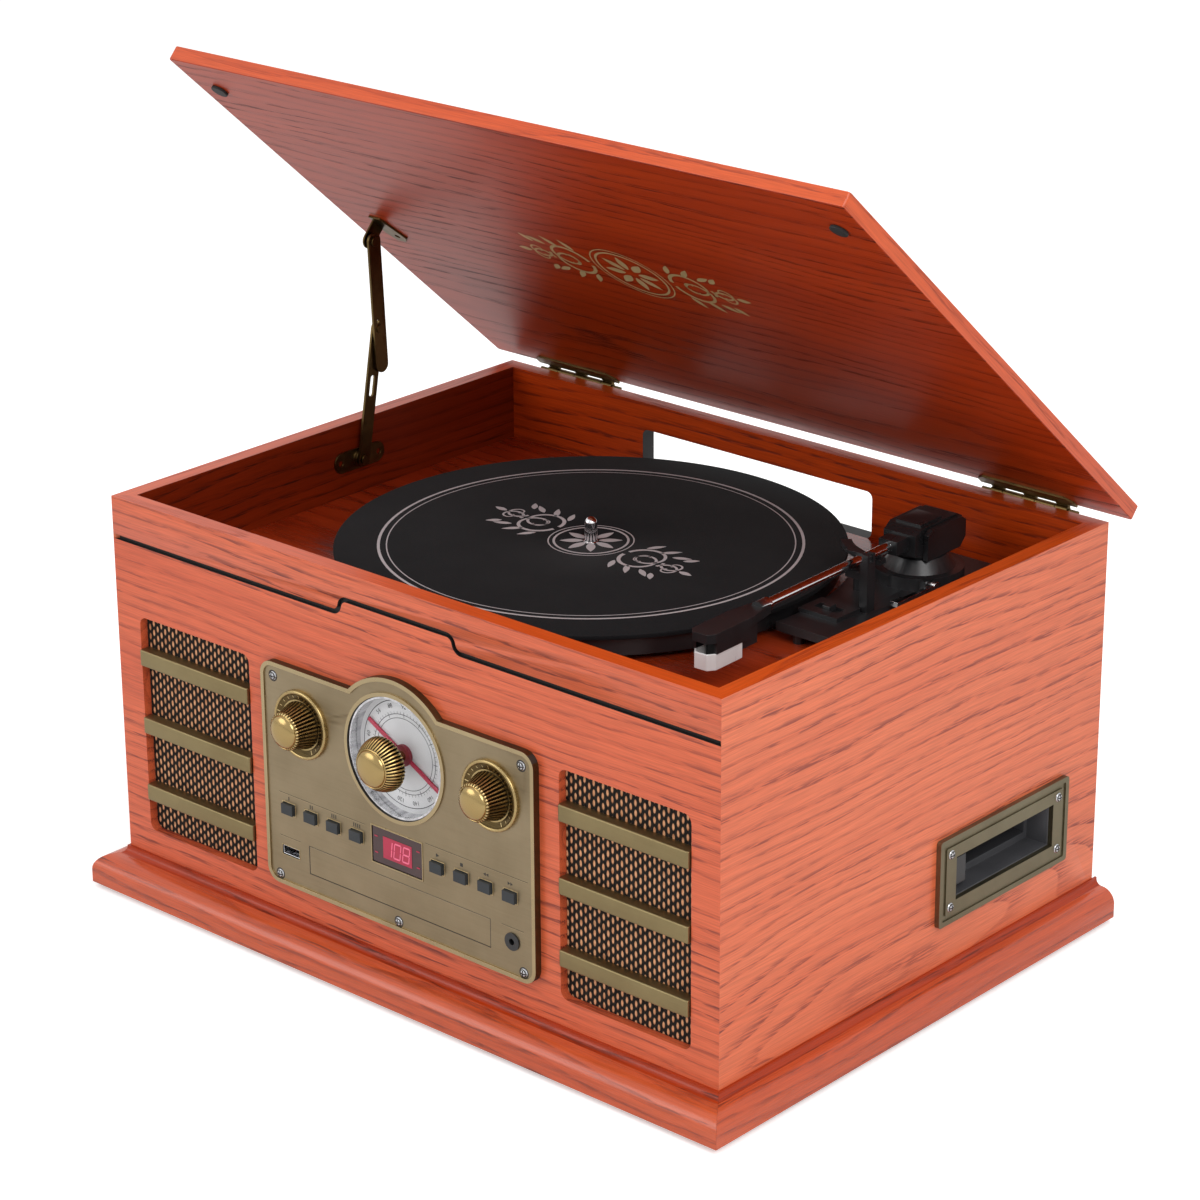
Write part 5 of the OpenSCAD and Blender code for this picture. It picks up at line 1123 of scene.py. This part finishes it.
def makeDeck():
    softened("platter", "platter_black", [blackPlastic], 0.5, segments=3)
    softened("spindle_bearing", "spindle_chrome", [chrome], 0.3)
    softened("motor_pulley", "pulley_brass", [hardwareGold], 0.1)
    softened("turntable_motor", "motor_steel", [socketMetal], 0.2)
    softened("drive_belt", "belt_rubber", [beltRubber], 0.0)
    softened("tonearm_base", "black_plastic", [blackPlastic], 0.5)
    softened("tonearm_yoke", "black_plastic", [blackPlastic], 0.15)
    softened("tonearm", "arm_tube_chrome", [chrome, blackPlastic], 0.12, choose=paintArm)
    softened("stylus_guard", "guard_plastic", [guardPlastic], 0.4)
    softened("arm_clip", "black_plastic", [blackPlastic], 0.3)
    softened("cue_lever", "arm_tube_chrome", [chrome], 0.2)
    softened("lift_platform", "grey_plastic", [blackPlastic], 0.2)
    softened("speed_switch", "black_plastic", [blackPlastic], 0.4)
    print("deck made")


armLine = dict(pivot=(138.5, 102.0), park=2.25,
               tube=(30, 141))  # how far along the arm the chrome tube shows


def paintArm(centres, normals):
    lean = math.radians(armLine["park"])
    away = centres[:, :2] - armLine["pivot"]
    along = -away[:, 0] * math.sin(lean) - away[:, 1] * math.cos(lean)
    return (~inside(along, armLine["tube"])).astype(int)


def makeMat():
    material, tree, shader = startMaterial("matFelt", {"Roughness": 0.95, "Sheen Weight": 0.04,
                                                       "Sheen Roughness": 0.5, "Specular IOR Level": 0.15})
    place = objectSpace(tree)
    fluff = noiseAt(tree, place, (1400, 1400, 1400), detail=3)
    patch = noiseAt(tree, place, (30, 30, 30), detail=3)
    ramp(tree, calc(tree, "MULTIPLY_ADD", fluff, 0.6, calc(tree, "MULTIPLY", patch, 0.4)),
         [(0.35, (0.004, 0.004, 0.005)), (0.65, (0.010, 0.010, 0.011))], shader.inputs["Base Color"])
    bumpFrom(tree, shader, fluff, 0.0002, 0.6)
    m = mat
    arc = np.linspace(0, np.pi / 2, 5)
    edge = [(m["r"] - 0.8 + 0.8 * math.sin(a), m["high"] - 0.8 + 0.8 * math.cos(a)) for a in arc]
    low = [(m["r"] - 0.8 + 0.8 * math.cos(a), m["low"] + 0.8 - 0.8 * math.sin(a)) for a in arc]
    profile = [(m["hole"], m["low"]), (m["hole"], m["high"] - 0.2), (m["hole"] + 0.3, m["high"]),
               (60, m["high"])] + edge + low + [(60, m["low"]), (m["hole"], m["low"])]
    piece = turned("slip_mat_felt", profile, (*m["centre"], 0), material, 180, toward=(0, 0, 1), sharp=50)
    dress(piece, "mat_felt", "slip_mat")


def makeRear():
    softened("rear_sockets", "socket_metal", [blackPlastic, socketMetal], 0.2, choose=lambda c,
             n: (c[:, 1] > 165.5).astype(int))
    softened("circuit_boards", "board_green", [boardGreen], 0.0)
    softened("cd_mechanism", "grey_plastic", [greyPlastic], 0.0)


makeCamera()
makeFloor()
makeLamps()
makeCase()
makePlate()
makeSideKnob("function_knob", -knob["x"])
makeSideKnob("volume_knob", knob["x"])
makeTuningKnob()
makeCollars()
makeDialPrint()
makePointer()
makeLens()
makeTrim()
makeDisplay()
makePrints()
makeCloth()
makeBars()
makeDeck()
makeMat()
makeRear()
print("all pieces made")
